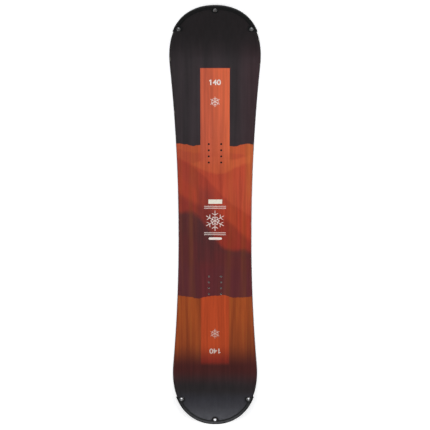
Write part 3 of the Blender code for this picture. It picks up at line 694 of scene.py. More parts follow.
def blank(name, low_ring, high_ring, low, high):
    """A closed flat blank between two rings of equal count."""
    rings = [np.column_stack([ring, np.full(len(ring), height)])
             for ring, height in ((low_ring, low), (high_ring, high))]
    return welded(swept(name, np.array(rings)))


def press_blank(piece, lift):
    """Cut a flat piece into slices across the board, so that it can bend, and press it."""
    bm = bmesh.new()
    bm.from_mesh(piece.data)
    low = min(v.co.y for v in bm.verts)
    high = max(v.co.y for v in bm.verts)
    for mark in np.arange(math.ceil(low / PRESS_SLICE) * PRESS_SLICE, high, PRESS_SLICE):
        bmesh.ops.bisect_plane(bm, geom=bm.verts[:] + bm.edges[:] + bm.faces[:], dist=TOUCHING,
                               plane_co=(0, mark, 0), plane_no=(0, 1, 0))
    bmesh.ops.triangulate(bm, faces=bm.faces)
    bm.to_mesh(piece.data)
    bm.free()
    press_mesh(piece.data, lift)


def between_skins(along, z):
    """Height in a piece as thick as the core: what is above the sidewall's foot thins with it."""
    foot = np.minimum(z, SIDEWALL_LEVEL)
    share = (z - foot) / (CORE_TOP - SIDEWALL_LEVEL)
    return foot + share * (core_top(along) - SIDEWALL_LEVEL)


for tip_name, tip in TIPS:
    node_name = tip_name + "_spacer"
    spacer = blank("plastic_" + node_name, crescent(SIDEWALL_STEP, tip), crescent(TOP_INSET, tip),
                   SIDEWALL_LEVEL, CORE_TOP)
    inner = blank("inner", crescent(CORE_INSET, tip), crescent(CORE_INSET, tip), CORE_LEVEL,
                  (SIDEWALL_LEVEL + CORE_TOP) / 2)
    cut(spacer, inner.data, "UNION")
    bpy.data.objects.remove(inner)
    press_blank(spacer, between_skins)
    drill(spacer, bolt_places(tip), NUT_HOLE)
    milled.dress(spacer)
    put_on(spacer, "tip_spacer", node_name)


# Sixteen flanged steel inserts take the binding screws, two packs of four rows and two columns.
# Each is turned, tapped M6, closed at the bottom and pressed into the core from below.
INSERT_BORE = 0.0050
INSERT_FLANGE = 0.0150
INSERT_FLANGE_THICKNESS = 0.0012
INSERT_TOP = CORE_THICKNESS + BOND + GLASS_THICKNESS
MOUTH_CHAMFER = 0.0004
THREAD_PITCH = 0.0010
THREAD_DEPTH = 0.00035
ZINC = (0.86, 0.80, 0.76, 1.0)
ZINC_DULL = (0.66, 0.61, 0.57, 1.0)
# Dark thread oil with painted shade in the bores: a painted shadow deepest down, less up the walls, a trace
# on the mouth.
ZINC_OIL_AND_SHADE = (0.02, 0.02, 0.02, 1.0)
DEEP_OIL_AND_SHADE_LEVEL = 0.0045
OIL_AND_SHADE_ABOVE = 0.38
OIL_AND_SHADE_ON_MOUTH = 0.3

# The nose's pack gets more painted shade than the tail's, whose inserts are painted lighter where they
# catch the light: where the change starts and ends, and the factors there.
PAINTED_SHADE_TAIL_TO_NOSE = (-0.1, 0.1, 0.6, 2.4)


def turned_piece(name, profile, sides=TURNED_SIDES):
    """A closed turned piece: profile lists (radius, height), up its bore or down its outside."""
    angles = np.linspace(0, 2 * math.pi, sides, endpoint=False)
    points, rings = [], []
    for radius, height in profile:
        ring = [len(points)] * sides if radius == 0 else [len(points) + i for i in range(sides)]
        count = 1 if radius == 0 else sides
        points += [(radius * math.cos(a), radius * math.sin(a), height) for a in angles[:count]]
        rings.append(ring)
    faces = []
    for near, far in zip(rings, rings[1:] + (rings[:1] if profile[0][0] > 0 else [])):
        for i in range(sides):
            after = (i + 1) % sides
            face = list(dict.fromkeys([near[i], far[i], far[after], near[after]]))
            if len(face) > 2:
                faces.append(face)
    return mesh_piece(name, points, faces)


def thread_profile():
    """Down the tapped bore of an insert, as rings of crests and roots."""
    bore = INSERT_BORE / 2
    low = INSERT_FLANGE_THICKNESS + THREAD_PITCH
    count = int((INSERT_TOP - MOUTH_CHAMFER - low) / THREAD_PITCH)
    profile = []
    for turn in range(count):
        height = low + turn * THREAD_PITCH
        profile += [(bore, height), (bore + THREAD_DEPTH, height + THREAD_PITCH / 2)]
    return [(bore, INSERT_FLANGE_THICKNESS)] + profile


def place_pieces(tree, given, points, **turned):
    """Close a tree with the given piece on each point."""
    piece = add_node(tree, "GeometryNodeObjectInfo", {"Object": given["Piece"]}).outputs["Geometry"]
    placed = add_node(tree, "GeometryNodeInstanceOnPoints", {
        "Points": points, "Instance": piece, **turned}).outputs[0]
    end_tree(tree, placed, given["Material"])


def pack_tree():
    """Two packs of pieces on a grid, centred on the stance."""
    tree, given = new_tree("insert_packs", {
        "Piece": "Object", "Rows": "Int", "Row Pitch": "Float", "Column Pitch": "Float",
        "Stance": "Float", "Shift": "Float", "Height": "Float", "Material": "Material"})
    length = add_math(tree, "MULTIPLY", add_math(tree, "SUBTRACT", given["Rows"], 1.0), given["Row Pitch"])
    grid = add_node(tree, "GeometryNodeMeshGrid", {
        "Size X": given["Column Pitch"], "Size Y": length, "Vertices X": 2, "Vertices Y": given["Rows"]})
    packs = tree.nodes.new("GeometryNodeJoinGeometry")
    for half in (0.5, -0.5):
        centre = add_math(tree, "MULTIPLY_ADD", given["Stance"], half, given["Shift"])
        shift = add_node(tree, "ShaderNodeCombineXYZ", {"Y": centre, "Z": given["Height"]}).outputs[0]
        moved = add_node(tree, "GeometryNodeTransform", {"Geometry": grid.outputs[0], "Translation": shift})
        tree.links.new(moved.outputs[0], packs.inputs[0])
    place_pieces(tree, given, packs.outputs[0])
    return tree


def mark_points(piece, name, values):
    """Store a value on each point of a piece, for its finish to read."""
    piece.data.attributes.new(name, "FLOAT", "POINT").data.foreach_set("value", values)


bore, barrel, flange = INSERT_BORE / 2, INSERT_BARREL / 2, INSERT_FLANGE / 2
insert = turned_piece("insert", [(0.0, INSERT_FLANGE_THICKNESS)] + thread_profile() + [
    (bore, INSERT_TOP - MOUTH_CHAMFER), (bore + MOUTH_CHAMFER, INSERT_TOP), (barrel, INSERT_TOP),
    (barrel, INSERT_FLANGE_THICKNESS), (flange, INSERT_FLANGE_THICKNESS), (flange, 0.0), (0.0, 0.0)])


def bore_oil_and_shade_share(point):
    """Share of dark thread oil and painted shade at a point of an insert: most deep in the bore, as a
    painted shadow, a trace on its mouth.
    """
    in_bore = (math.hypot(point.x, point.y) < bore + THREAD_DEPTH + WELD
               and point.z > INSERT_FLANGE_THICKNESS - WELD)
    deep = 1.0 if point.z < DEEP_OIL_AND_SHADE_LEVEL else OIL_AND_SHADE_ABOVE
    return in_bore * deep + OIL_AND_SHADE_ON_MOUTH * (point.z > INSERT_TOP - WELD)


mark_points(insert, "oil_and_painted_shade", [bore_oil_and_shade_share(v.co) for v in insert.data.vertices])
plated = Finish("plated_steel", Metallic=0.75, Roughness=0.4)
plating = plated.noise(900.0, detail=4.0)
# The oil and painted shade grow toward the nose's pack; the tail's pack is painted lighter, as painted
# light.
darkened_by_oil_and_shade = plated.times(plated.attribute("oil_and_painted_shade"), plated.between(plated.y, *PAINTED_SHADE_TAIL_TO_NOSE))
darkened_by_oil_and_shade = plated.between(darkened_by_oil_and_shade, 0.0, 1.0)
plated.colour(plated.mix(darkened_by_oil_and_shade, plated.mix(plating, ZINC_DULL, ZINC), ZINC_OIL_AND_SHADE))
plated.roughness(plated.between(plating, 0.3, 0.7, 0.36, 0.55))
plated.relief(plating, 0.00001)
inserts = run_tree(in_scene("insert_points", bpy.data.meshes.new("insert_points")), pack_tree(), {
    "Piece": insert, "Rows": INSERT_ROWS, "Row Pitch": ROW_PITCH, "Column Pitch": COLUMN_PITCH,
    "Stance": STANCE, "Shift": STANCE_SHIFT, "Height": CORE_LEVEL, "Material": plated.material},
    "binding_inserts")
bpy.data.objects.remove(insert)
put_on(inserts, "insert_steel", *[n for n in sorted(nodes) if n.startswith("insert_")])


# The topsheet is a clear plastic film printed from below, so its colours lie under a satin gloss.
# Its print has black-stained tips, a glowing field between the feet that darkens in dune-like
# bands toward the tail, a plain orange bar at each end, and a wood grain along all of it.
TOPSHEET_THICKNESS = 0.0005
TOPSHEET_HOLE = 0.0066
TOPSHEET_ROUND = 0.0002
TOPSHEET_COLUMNS = 32
LINE_SAMPLES = 300
topsheet_low = BOND + GLASS_THICKNESS + BOND
topsheet_high = topsheet_low + TOPSHEET_THICKNESS
TIP_TOP = CORE_LEVEL + CORE_TIP_THICKNESS + topsheet_high
BAR_HALF_WIDTH = 0.0468
BAR_SHARP = 0.0006
BAR_SOFT = 0.0028
NOSE_BAR_END = 0.4976
TAIL_BAR_END = -0.494
LINE_SHARP = 0.0008
PRINT_WOBBLE = 0.022
FADE_FROM = -0.408
FADE_MAROON = -0.508
FADE_TO = -0.575

# Where the field ends, at the nose and at the tail: place along the board, swing, wave length, phase.
NOSE_LINE = (0.2515, 0.0035, 0.115, 2.2)
TAIL_LINE = (-0.2575, 0.005, 0.16, 0.9)

# Fades: where one starts and ends (metres, or levels of the grain), then its shares there.
HEEL_STAIN = (0.0, -0.10, 0.0, 0.13)
STREAK_MIDDLE = -0.030
STREAK_SIDES = (0.036, 0.018, 0.0, 0.30)
STREAK_NOSE_END = (0.13, 0.08)
STREAK_TAIL_END = (-0.16, -0.12)
GOLD_ACROSS = (0.094, 0.110, 0.0, 0.34)
GOLD_ALONG = (0.02, 0.12)
WARM_STREAKS = (0.5, 0.74, 0.0, 0.5)
DARK_STREAKS = (0.5, 0.28, 0.0, 0.45)
BROWN_GRAIN = (0.38, 0.66)
OLIVE_GRAIN = (0.5, 0.75, 0.0, 0.4)
OLIVE_SHARE = 0.4
RED_SHARE = 0.6
DEEPENED_ALONG = (-0.31, -0.43)
DEEPENED_ACROSS = (-0.10, 0.10, 0.14, 0.25)
STAIN_GRAIN = (0.36, 0.66)
STAIN_WARMED = (0.05, 0.13, 0.0, 0.5)
# Where the tail's tip turns to a lighter cool grey, a painted sheen.
TAIL_TIP_PAINTED_SHEEN = (-0.62, -0.58)
TIP_DARKENED = (0.48, 0.61, 0.0, 0.9)
GLOW_ACROSS = (-0.05, 0.05)
GLOW_SHARE = 0.7
GLOW_GRAIN = (0.4, 0.62, 0.0, 0.3)
NOSE_BAR_FOOT = (0.15, 0.25)
TAIL_BAR_FADE = (-0.42, TAIL_BAR_END)
TAIL_BAR_RIM = (TAIL_BAR_END - 0.008, TAIL_BAR_END + 0.010)
CHIPS_FROM_RIM = (0.0030, 0.0006)


def ink(red, green, blue):
    """Print colour from its 8-bit display values, as the shader takes it."""
    shares = [value / 255 for value in (red, green, blue)]
    return (*[s / 12.92 if s <= 0.04045 else ((s + 0.055) / 1.055) ** 2.4 for s in shares], 1.0)


INK_BLACK = ink(41, 36, 38)
INK_STAIN = ink(53, 44, 47)
INK_STAIN_WARM = ink(66, 41, 46)
INK_TIP = ink(31, 28, 29)
INK_TIP_PAINTED_SHEEN = ink(40, 40, 46)
INK_FIELD = ink(188, 82, 48)
INK_GOLD = ink(200, 118, 52)
INK_BAR = ink(189, 85, 60)
INK_BAR_WARM = ink(216, 101, 63)
INK_TAIL_BAR = ink(180, 70, 34)
INK_TAIL_BAR_DEEP = ink(122, 38, 28)
INK_OLIVE = ink(142, 84, 30)
INK_BROWN = ink(163, 76, 33)
INK_BROWN_DEEP = ink(130, 56, 27)
INK_MAROON = ink(68, 29, 27)
INK_RED = ink(120, 34, 33)
INK_CHIPPED = ink(150, 146, 136)

# Each dune line: its place along the board, swing, wave length, phase, slope and softness, and the
# ink that lies toward the tail of it.
DUNES = (
    (0.226, 0.006, 0.21, 0.4, -0.10, 0.006, ink(180, 74, 47)),
    (0.205, 0.008, 0.17, 2.1, 0.12, 0.010, ink(195, 87, 52)),
    (0.178, 0.020, 0.24, -1.7, -0.04, 0.012, ink(182, 70, 46)),
    (0.112, 0.008, 0.21, 3.2, -0.85, 0.014, ink(165, 60, 41)),
    (0.074, 0.012, 0.19, 5.4, -0.55, 0.020, ink(171, 60, 38)),
    (0.020, 0.012, 0.26, 1.2, -0.70, 0.026, ink(144, 48, 36)),
    (-0.046, 0.024, 0.18, 3.7, -0.72, 0.026, ink(89, 40, 40)),
    (-0.092, 0.009, 0.24, 4.6, -0.40, 0.024, ink(93, 39, 40)),
    (-0.157, 0.008, 0.20, 0.2, -0.16, 0.030, ink(92, 39, 43)),
)


def mark_distance(piece, name, inset, height=0.0):
    """Store on each point of a piece how far it lies from the rim's line at an inset, seen from above."""
    line = on_board(*rim(inset, LINE_SAMPLES), height)
    mark_points(piece, name, [float(np.min(np.hypot(line[:, 0] - abs(v.co.x), line[:, 1] - v.co.y)))
                              for v in piece.data.vertices])


topsheet = pressed_layer("printed_topsheet", [
    (TOP_INSET, above_core(topsheet_low)),
    (TOP_INSET, above_core(topsheet_high - TOPSHEET_ROUND)),
    (TOP_INSET + TOPSHEET_ROUND / 3, above_core(topsheet_high - TOPSHEET_ROUND / 3)),
    (TOP_INSET + TOPSHEET_ROUND, above_core(topsheet_high))], across=TOPSHEET_COLUMNS)
drill(topsheet, BOLTS, NUT_HOLE)
drill(topsheet, INSERTS, TOPSHEET_HOLE)
mark_distance(topsheet, "rim_distance", TOP_INSET)
put_on(topsheet, "printed_topsheet", "topsheet")

printed = Finish("printed_film", Roughness=0.32)
wide_grain = printed.noise(34.0, drawn=26.0, roughness=0.5)
fine_grain = printed.noise(150.0, drawn=34.0, detail=2.0, roughness=0.5, shift=(3, 0, 0))
fibre_grain = printed.noise(600.0, drawn=34.0, detail=4.0, roughness=0.6, shift=(3, 0, 0))
wobble = printed.times(printed.math("SUBTRACT", printed.noise(24.0, detail=4.0), 0.5), PRINT_WOBBLE)


def print_line(centre, swing, wave, phase, slope=0.0):
    """How far a point lies toward the nose from a waved line across the board."""
    turned_x = printed.math("ADD", printed.times(printed.x, 2 * math.pi / wave), phase)
    waved = printed.times(printed.math("SINE", turned_x), swing)
    sloped = printed.math("MULTIPLY_ADD", printed.x, slope, waved)
    line = printed.math("ADD", printed.math("ADD", sloped, centre), wobble)
    return printed.math("SUBTRACT", printed.y, line)


field = INK_FIELD
for *line, softness, tone in DUNES:
    past = printed.between(print_line(*line), softness / 2, -softness / 2)
    field = printed.mix(past, field, tone)
field = printed.mix(printed.between(printed.x, *HEEL_STAIN), field, INK_STAIN)
streak_ends = printed.times(printed.between(printed.y, *STREAK_NOSE_END),
                            printed.between(printed.y, *STREAK_TAIL_END))
streak_side = printed.math("ABSOLUTE", printed.math("ADD", printed.x, -STREAK_MIDDLE))
streak = printed.times(printed.between(streak_side, *STREAK_SIDES), streak_ends)
field = printed.mix(streak, field, INK_STAIN)
golden = printed.times(printed.between(printed.x, *GOLD_ACROSS), printed.between(printed.y, *GOLD_ALONG))
field = printed.mix(golden, field, INK_GOLD)
warm_streak = printed.between(wide_grain, *WARM_STREAKS)
field = printed.mix(warm_streak, field, printed.mix(OLIVE_SHARE, field, INK_OLIVE))
dark_streak = printed.between(wide_grain, *DARK_STREAKS)
field = printed.mix(dark_streak, field, printed.mix(RED_SHARE, field, INK_RED))

stained = printed.mix(printed.between(wide_grain, *STAIN_GRAIN), INK_BLACK, INK_STAIN)
stained = printed.mix(printed.between(printed.x, *STAIN_WARMED), stained, INK_STAIN_WARM)
# Past the tail's tip the ink is a lighter cool grey: a painted sheen of the softbox on the turned-up tail.
tip_ink_and_sheen = printed.mix(printed.between(printed.y, *TAIL_TIP_PAINTED_SHEEN), INK_TIP_PAINTED_SHEEN, INK_TIP)
toward_tip = printed.between(printed.math("ABSOLUTE", printed.y), *TIP_DARKENED)
stained = printed.mix(toward_tip, stained, tip_ink_and_sheen)

off_middle = printed.math("ABSOLUTE", printed.x)
tail_bar = printed.mix(printed.between(printed.y, *TAIL_BAR_FADE), INK_TAIL_BAR, INK_TAIL_BAR_DEEP)
tail_bar_share = printed.times(
    printed.between(off_middle, BAR_HALF_WIDTH + BAR_SOFT, BAR_HALF_WIDTH - BAR_SOFT),
    printed.between(printed.y, *TAIL_BAR_RIM))
tail_field = printed.mix(printed.between(wide_grain, *BROWN_GRAIN), INK_BROWN_DEEP, INK_BROWN)
tail_field = printed.mix(printed.between(fine_grain, *OLIVE_GRAIN), tail_field, INK_OLIVE)
deepened = printed.times(printed.between(printed.y, *DEEPENED_ALONG),
                         printed.between(printed.x, *DEEPENED_ACROSS))
tail_field = printed.mix(deepened, tail_field, INK_MAROON)
tail_field = printed.mix(printed.between(printed.y, FADE_FROM, FADE_MAROON), tail_field, INK_MAROON)
tail_field = printed.mix(printed.between(printed.y, FADE_MAROON, FADE_TO), tail_field, stained)
tail_field = printed.mix(tail_bar_share, tail_field, tail_bar)
before_tail = printed.between(print_line(*TAIL_LINE), LINE_SHARP, -LINE_SHARP)
colour = printed.mix(before_tail, field, tail_field)

past_nose = printed.between(print_line(*NOSE_LINE), -LINE_SHARP, LINE_SHARP)
colour = printed.mix(past_nose, colour, stained)
glow = printed.math("MULTIPLY_ADD", printed.between(printed.x, *GLOW_ACROSS), GLOW_SHARE,
                    printed.between(wide_grain, *GLOW_GRAIN))
nose_bar = printed.mix(glow, INK_BAR, INK_BAR_WARM)
in_bar = printed.between(off_middle, BAR_HALF_WIDTH + BAR_SHARP, BAR_HALF_WIDTH - BAR_SHARP)
bar_top = printed.between(printed.y, NOSE_BAR_END + BAR_SHARP, NOSE_BAR_END - BAR_SHARP)
bar_foot = printed.between(printed.y, *NOSE_BAR_FOOT)
nose_bar_share = printed.times(in_bar, printed.times(bar_top, bar_foot))
colour = printed.mix(nose_bar_share, colour, nose_bar)

grain_tone = printed.between(fine_grain, 0.3, 0.7, 0.88, 1.12)
colour = printed.mix(1.0, colour, add_node(printed.tree, "ShaderNodeCombineColor", {
    0: grain_tone, 1: grain_tone, 2: grain_tone}).outputs[0], blend="MULTIPLY")
near_rim = printed.between(printed.attribute("rim_distance"), *CHIPS_FROM_RIM)
chip_noise = printed.noise(120.0, drawn=2.0, shift=(7, 2, 0))
chipped = printed.times(near_rim, printed.between(chip_noise, 0.64, 0.68))
printed.colour(printed.mix(chipped, colour, INK_CHIPPED))
rubbed = printed.noise(60.0, detail=6.0, roughness=0.7)
printed.roughness(printed.between(rubbed, 0.3, 0.75, 0.285, 0.38))
printed.relief(printed.math("MULTIPLY_ADD", fibre_grain, 0.6, printed.noise(420.0, detail=2.0)), 0.00004)
printed.dress(topsheet)


# White ink on top of the film: the board's length near each end, a small snow crystal beside it,
# and a block between the feet made of bars, a larger crystal, a bare plate and a bare pill.
INK_THICKNESS = 0.00004
INK_LIFT = 0.00001
LENGTH_MARK = f"{100 * BOARD_LENGTH:.0f}"
FIGURE_BOX = (0.0338, 0.0178)
FIGURE_WEIGHT = 0.024
FIGURE_CURVE_STEPS = 6
FIGURE_DRAWN_DEPTH = 0.5
FLAG_WIDTH = 0.0062
FLAG_WEIGHT = 0.0027
FLAG_OUT = 0.0006
FLAG_DROP = 0.0033
FLAG_LEAN = math.radians(38.0)
CRYSTAL_ARMS = 6
CRYSTAL_TURN = math.pi / 6
BARB_LEAN = math.pi / 3
BLOCK_HALF_WIDTH = 0.0355

# Each crystal: its radius, the weight of its lines, and its barbs as shares of the radius, with how
# far out on an arm they start and how long they are.
MARK_CRYSTAL = (0.0165, 0.0015, ((0.50, 0.34),))
BLOCK_CRYSTAL = (0.0335, 0.0018, ((0.26, 0.24), (0.58, 0.34)))

# Each bar of the block: its place along the board and its height.
BLOCK_BARS = ((0.0498, 0.0014), (0.0465, 0.0007), (0.0425, 0.0014),
              (-0.0376, 0.0014), (-0.0416, 0.0007), (-0.0449, 0.0014))
PILL_HALF = 0.0176
PILL_RADIUS = 0.0042
PILL_STEPS = 15
PILL_PLACE = (0.0010, -0.0580)
PLATE_SIZE = (0.0448, 0.0142)
PLATE_PLACE = (0.0010, 0.0650)
WHITE_INK = ink(238, 226, 218)
WHITE_INK_AGED = ink(206, 186, 176)
WHITE_INK_WORN = ink(196, 150, 136)
PLATE_INK = ink(236, 229, 212)
PLATE_INK_WORN = ink(176, 164, 136)


def press_print(piece):
    """Press a flat print onto the topsheet, as thin as ink."""
    press_blank(piece, lambda along, z: core_top(along) + topsheet_high + INK_LIFT + z)


def flat_print(name, outlines, turn=0.0, at=(0.0, 0.0)):
    """Closed thin slabs from outlines in the plane, turned and moved to their place."""
    bm = bmesh.new()
    for outline in outlines:
        face = bm.faces.new([bm.verts.new((x, y, 0.0)) for x, y in outline])
        face.normal_update()
        if face.normal.z < 0:
            face.normal_flip()
        bm.normal_update()
        raised = bmesh.ops.extrude_face_region(bm, geom=[face], use_keep_orig=True)
        for item in raised["geom"]:
            if isinstance(item, bmesh.types.BMVert):
                item.co.z += INK_THICKNESS
    bmesh.ops.recalc_face_normals(bm, faces=bm.faces)
    bm.transform(Matrix.Translation((*at, 0.0)) @ Matrix.Rotation(turn, 4, "Z"))
    return in_scene(name, as_mesh(name, bm))


def bar_outline(x, y, width, height, angle=0.0):
    """A bar about its middle, turned by an angle."""
    turned = Matrix.Rotation(angle, 2)
    corners = [(-width / 2, -height / 2), (width / 2, -height / 2), (width / 2, height / 2),
               (-width / 2, height / 2)]
    return [tuple(turned @ Vector(c) + Vector((x, y))) for c in corners]


def crystal_tree():
    """One arm turned about the middle into a whole crystal."""
    tree, given = new_tree("snow_crystal", {"Arms": "Int", "Material": "Material"})
    origin = add_node(tree, "GeometryNodeMeshLine", {"Count": given["Arms"], "Offset": (0.0, 0.0, 0.0)})
    number = add_node(tree, "GeometryNodeInputIndex", {}).outputs[0]
    part = add_math(tree, "DIVIDE", number, given["Arms"])
    angle = add_math(tree, "MULTIPLY", part, 2 * math.pi)
    turn = add_node(tree, "ShaderNodeCombineXYZ", {"Z": angle}).outputs[0]
    arms = add_node(tree, "GeometryNodeInstanceOnPoints", {
        "Points": origin.outputs[0], "Instance": given["Geometry"], "Rotation": turn}).outputs[0]
    end_tree(tree, arms, given["Material"])
    return tree


white = Finish("white_ink", Roughness=0.4)
worn = white.noise(500.0, detail=5.0, roughness=0.7)
whiteness = white.mix(white.between(white.y, -0.34, -0.40), WHITE_INK, WHITE_INK_AGED)
white.colour(white.mix(white.between(worn, 0.58, 0.72, 0.0, 0.6), whiteness, WHITE_INK_WORN))
white.relief(worn, 0.00001)
cream = Finish("cream_ink", Roughness=0.45)
cream_worn = cream.noise(420.0, detail=5.0)
cream.colour(cream.mix(cream.between(cream_worn, 0.5, 0.75, 0.0, 0.5), PLATE_INK, PLATE_INK_WORN))
cream.relief(cream_worn, 0.00001)


def figures(name, text, at, turn):
    """The board's length in plain upright figures, with a longer flag on the 1."""
    curve = bpy.data.curves.new(name, "FONT")
    curve.body = text
    curve.offset = FIGURE_WEIGHT
    curve.extrude = FIGURE_DRAWN_DEPTH
    curve.resolution_u = FIGURE_CURVE_STEPS
    drawn = in_scene(name + "_drawn", curve)
    piece = welded(in_scene(name, as_built(drawn)))
    bpy.data.objects.remove(drawn)
    mesh = piece.data
    corners = np.array([v.co for v in mesh.vertices])
    middle = (corners.min(axis=0) + corners.max(axis=0)) / 2
    size = corners.max(axis=0) - corners.min(axis=0)
    fit = Matrix.Diagonal((FIGURE_BOX[0] / size[0], FIGURE_BOX[1] / size[1], INK_THICKNESS / size[2], 1.0))
    mesh.transform(fit @ Matrix.Translation(-Vector(middle)))
    mesh.transform(Matrix.Translation((*at, INK_THICKNESS / 2)) @ Matrix.Rotation(turn, 4, "Z"))
    flag = flat_print(name + "_flag", [bar_outline(
        -FIGURE_BOX[0] / 2 - FLAG_OUT, FIGURE_BOX[1] / 2 - FLAG_DROP, FLAG_WIDTH, FLAG_WEIGHT,
        FLAG_LEAN)], turn, at)
    for part in (piece, flag):
        white.dress(part)
        press_print(part)
        put_on(part, "printed_topsheet")


figures("length_figures_nose", LENGTH_MARK, (0.0016, 0.4528), 0.0)
figures("length_figures_tail", LENGTH_MARK, (-0.0019, -0.4494), math.pi)

CRYSTAL_TREE = crystal_tree()
for name, (radius, weight, barbs), at in (
        ("crystal_mark_nose", MARK_CRYSTAL, (0.0, 0.3908)),
        ("crystal_mark_tail", MARK_CRYSTAL, (-0.0003, -0.3880)),
        ("crystal_block", BLOCK_CRYSTAL, (0.0, 0.0015))):
    outlines = [bar_outline(radius / 2, 0.0, radius, weight)]
    for out, length in barbs:
        for lean in (BARB_LEAN, -BARB_LEAN):
            away = Vector((math.cos(lean), math.sin(lean)))
            middle = Vector((out * radius, 0.0)) + away * length * radius / 2
            outlines.append(bar_outline(*middle, length * radius, weight, lean))
    arm = flat_print(name + "_arm", outlines)
    crystal = run_tree(arm, CRYSTAL_TREE, {"Arms": CRYSTAL_ARMS, "Material": white.material}, name)
    crystal.data.transform(Matrix.Translation((*at, 0.0)) @ Matrix.Rotation(CRYSTAL_TURN, 4, "Z"))
    press_print(crystal)
    put_on(crystal, "printed_topsheet")

pill = [(side * (PILL_HALF + PILL_RADIUS * math.cos(a)), PILL_RADIUS * math.sin(a))
        for side, start in ((1, -math.pi / 2), (-1, math.pi / 2))
        for a in np.linspace(start, -start, PILL_STEPS)]
for piece, coat in (
        (flat_print("block_bars", [bar_outline(0.0, y, 2 * BLOCK_HALF_WIDTH, height)
                                   for y, height in BLOCK_BARS]), white),
        (flat_print("block_pill", [pill], at=PILL_PLACE), white),
        (flat_print("block_plate", [bar_outline(0.0, 0.0, *PLATE_SIZE)], at=PLATE_PLACE), cream)):
    coat.dress(piece)
    press_print(piece)
    put_on(piece, "printed_topsheet")


# Black moulded guards wrap the nose and the tail: a flange over the topsheet, a rounded rim past
# the steel edge and a flange under the base, cut square at both ends, with a lug at each bolt.
SEAT_GAP = 0.0003
NUT_SHOULDER = 0.0027
NUT_FLANGE = NUT_BARREL + 2 * NUT_SHOULDER
NUT_FLANGE_THICKNESS = 0.0010
GUARD_OVERHANG = 0.00254
GUARD_FLANGE = 0.0100
GUARD_TOP = 0.0022
GUARD_BOTTOM = 0.0018
GUARD_ROUNDING = 0.0016
FLANGE_ROUNDING = 0.0006
LUG_RADIUS = 0.0120
LUG_TAIL = 0.0080
LUG_FILLET = 0.0035
LUG_SOFTNESS = 0.35
LUG_LIMIT = 30.0
GUARD_STEP = 0.0009
GUARD_SPARE = 0.012
GUARD_SAMPLES = 4000
INWARD_STEP = 0.001
FLANGE_COLUMNS = 9
CORNER_STEPS = 6
guard_low = -SEAT_GAP - GUARD_BOTTOM
guard_high = TIP_TOP + SEAT_GAP + GUARD_TOP
slot_low = -SEAT_GAP
slot_high = TIP_TOP + SEAT_GAP
GUARD_BLACK = (0.0055, 0.0056, 0.0058, 1.0)
GUARD_WORN = (0.026, 0.026, 0.027, 1.0)
BAND_INSET = 0.0038
BAND_HALF_WIDTH = 0.0024
BAND_BLUR = 0.0006


def guard_stations(tip):
    """Rim points and inward directions along a guard, from its toe end round to its heel end."""
    line = np.stack([toward(tip, v) for v in rim(0.0, GUARD_SAMPLES)], axis=1)
    inner = np.stack([toward(tip, v) for v in rim(INWARD_STEP, GUARD_SAMPLES)], axis=1)
    keep = line[:, 1] * tip > end_bolts(tip) - LUG_TAIL - GUARD_SPARE
    stations = np.hstack([line, (inner - line) / INWARD_STEP])[keep]
    run = rim_run(stations[:, 0], stations[:, 1])
    stops = np.linspace(0.0, run[-1], int(run[-1] / GUARD_STEP))
    toe = np.stack([np.interp(stops, run, column) for column in stations.T], axis=1)
    toe[-1, 0] = 0.0
    toe[-1, 2:] = (0.0, -tip)
    return np.concatenate([toe, toe[-2::-1] * (-1, 1, -1, 1)])


def flange_width(stations, tip):
    """Width of the flange at each station: even, with a rounded lug at each bolt."""
    point, inward = stations[:, :2], stations[:, 2:]
    width = np.full(len(stations), GUARD_FLANGE)
    for x, along in bolt_places(tip):
        offset = np.array((x, along)) - point
        deep = (offset * inward).sum(axis=1)
        aside = offset[:, 0] * inward[:, 1] - offset[:, 1] * inward[:, 0]
        reach = deep + np.sqrt(np.clip(LUG_RADIUS ** 2 - aside ** 2, 0.0, None))
        spread = np.clip((reach - width) / LUG_FILLET, -LUG_LIMIT, LUG_LIMIT)
        soft = width + LUG_FILLET * LUG_SOFTNESS * np.log1p(np.exp(spread / LUG_SOFTNESS))
        width = np.where(np.abs(aside) < LUG_RADIUS, np.maximum(width, soft), width)
    return width


def corner(inset, height, radius, turns):
    """Points of a rounded corner about its middle (inset, height)."""
    return [(inset + radius * math.cos(turn), height + radius * math.sin(turn)) for turn in turns]


def guard_section(width):
    """Section of a guard for a flange width: (inset, height) round the C, with its rounded corners."""
    square, third = math.pi / 2, math.pi / 6
    inner = width - FLANGE_ROUNDING
    outer = -GUARD_OVERHANG + GUARD_ROUNDING
    columns = [outer + (inner - outer) * share for share in np.linspace(0.0, 1.0, FLANGE_COLUMNS)]
    return np.array(
        [(inset, guard_high) for inset in columns]
        + corner(inner, guard_high - FLANGE_ROUNDING, FLANGE_ROUNDING, (2 * third, third, 0.0))
        + [(width, slot_high), (-SEAT_GAP, slot_high), (-SEAT_GAP, slot_low), (width, slot_low)]
        + corner(inner, guard_low + FLANGE_ROUNDING, FLANGE_ROUNDING, (0.0, -third, -2 * third))
        + [(inset, guard_low) for inset in columns[::-1]]
        + corner(outer, guard_low + GUARD_ROUNDING, GUARD_ROUNDING,
                 np.linspace(-square, -math.pi, CORNER_STEPS)[1:])
        + corner(outer, guard_high - GUARD_ROUNDING, GUARD_ROUNDING,
                 np.linspace(math.pi, square, CORNER_STEPS)[:-1]))


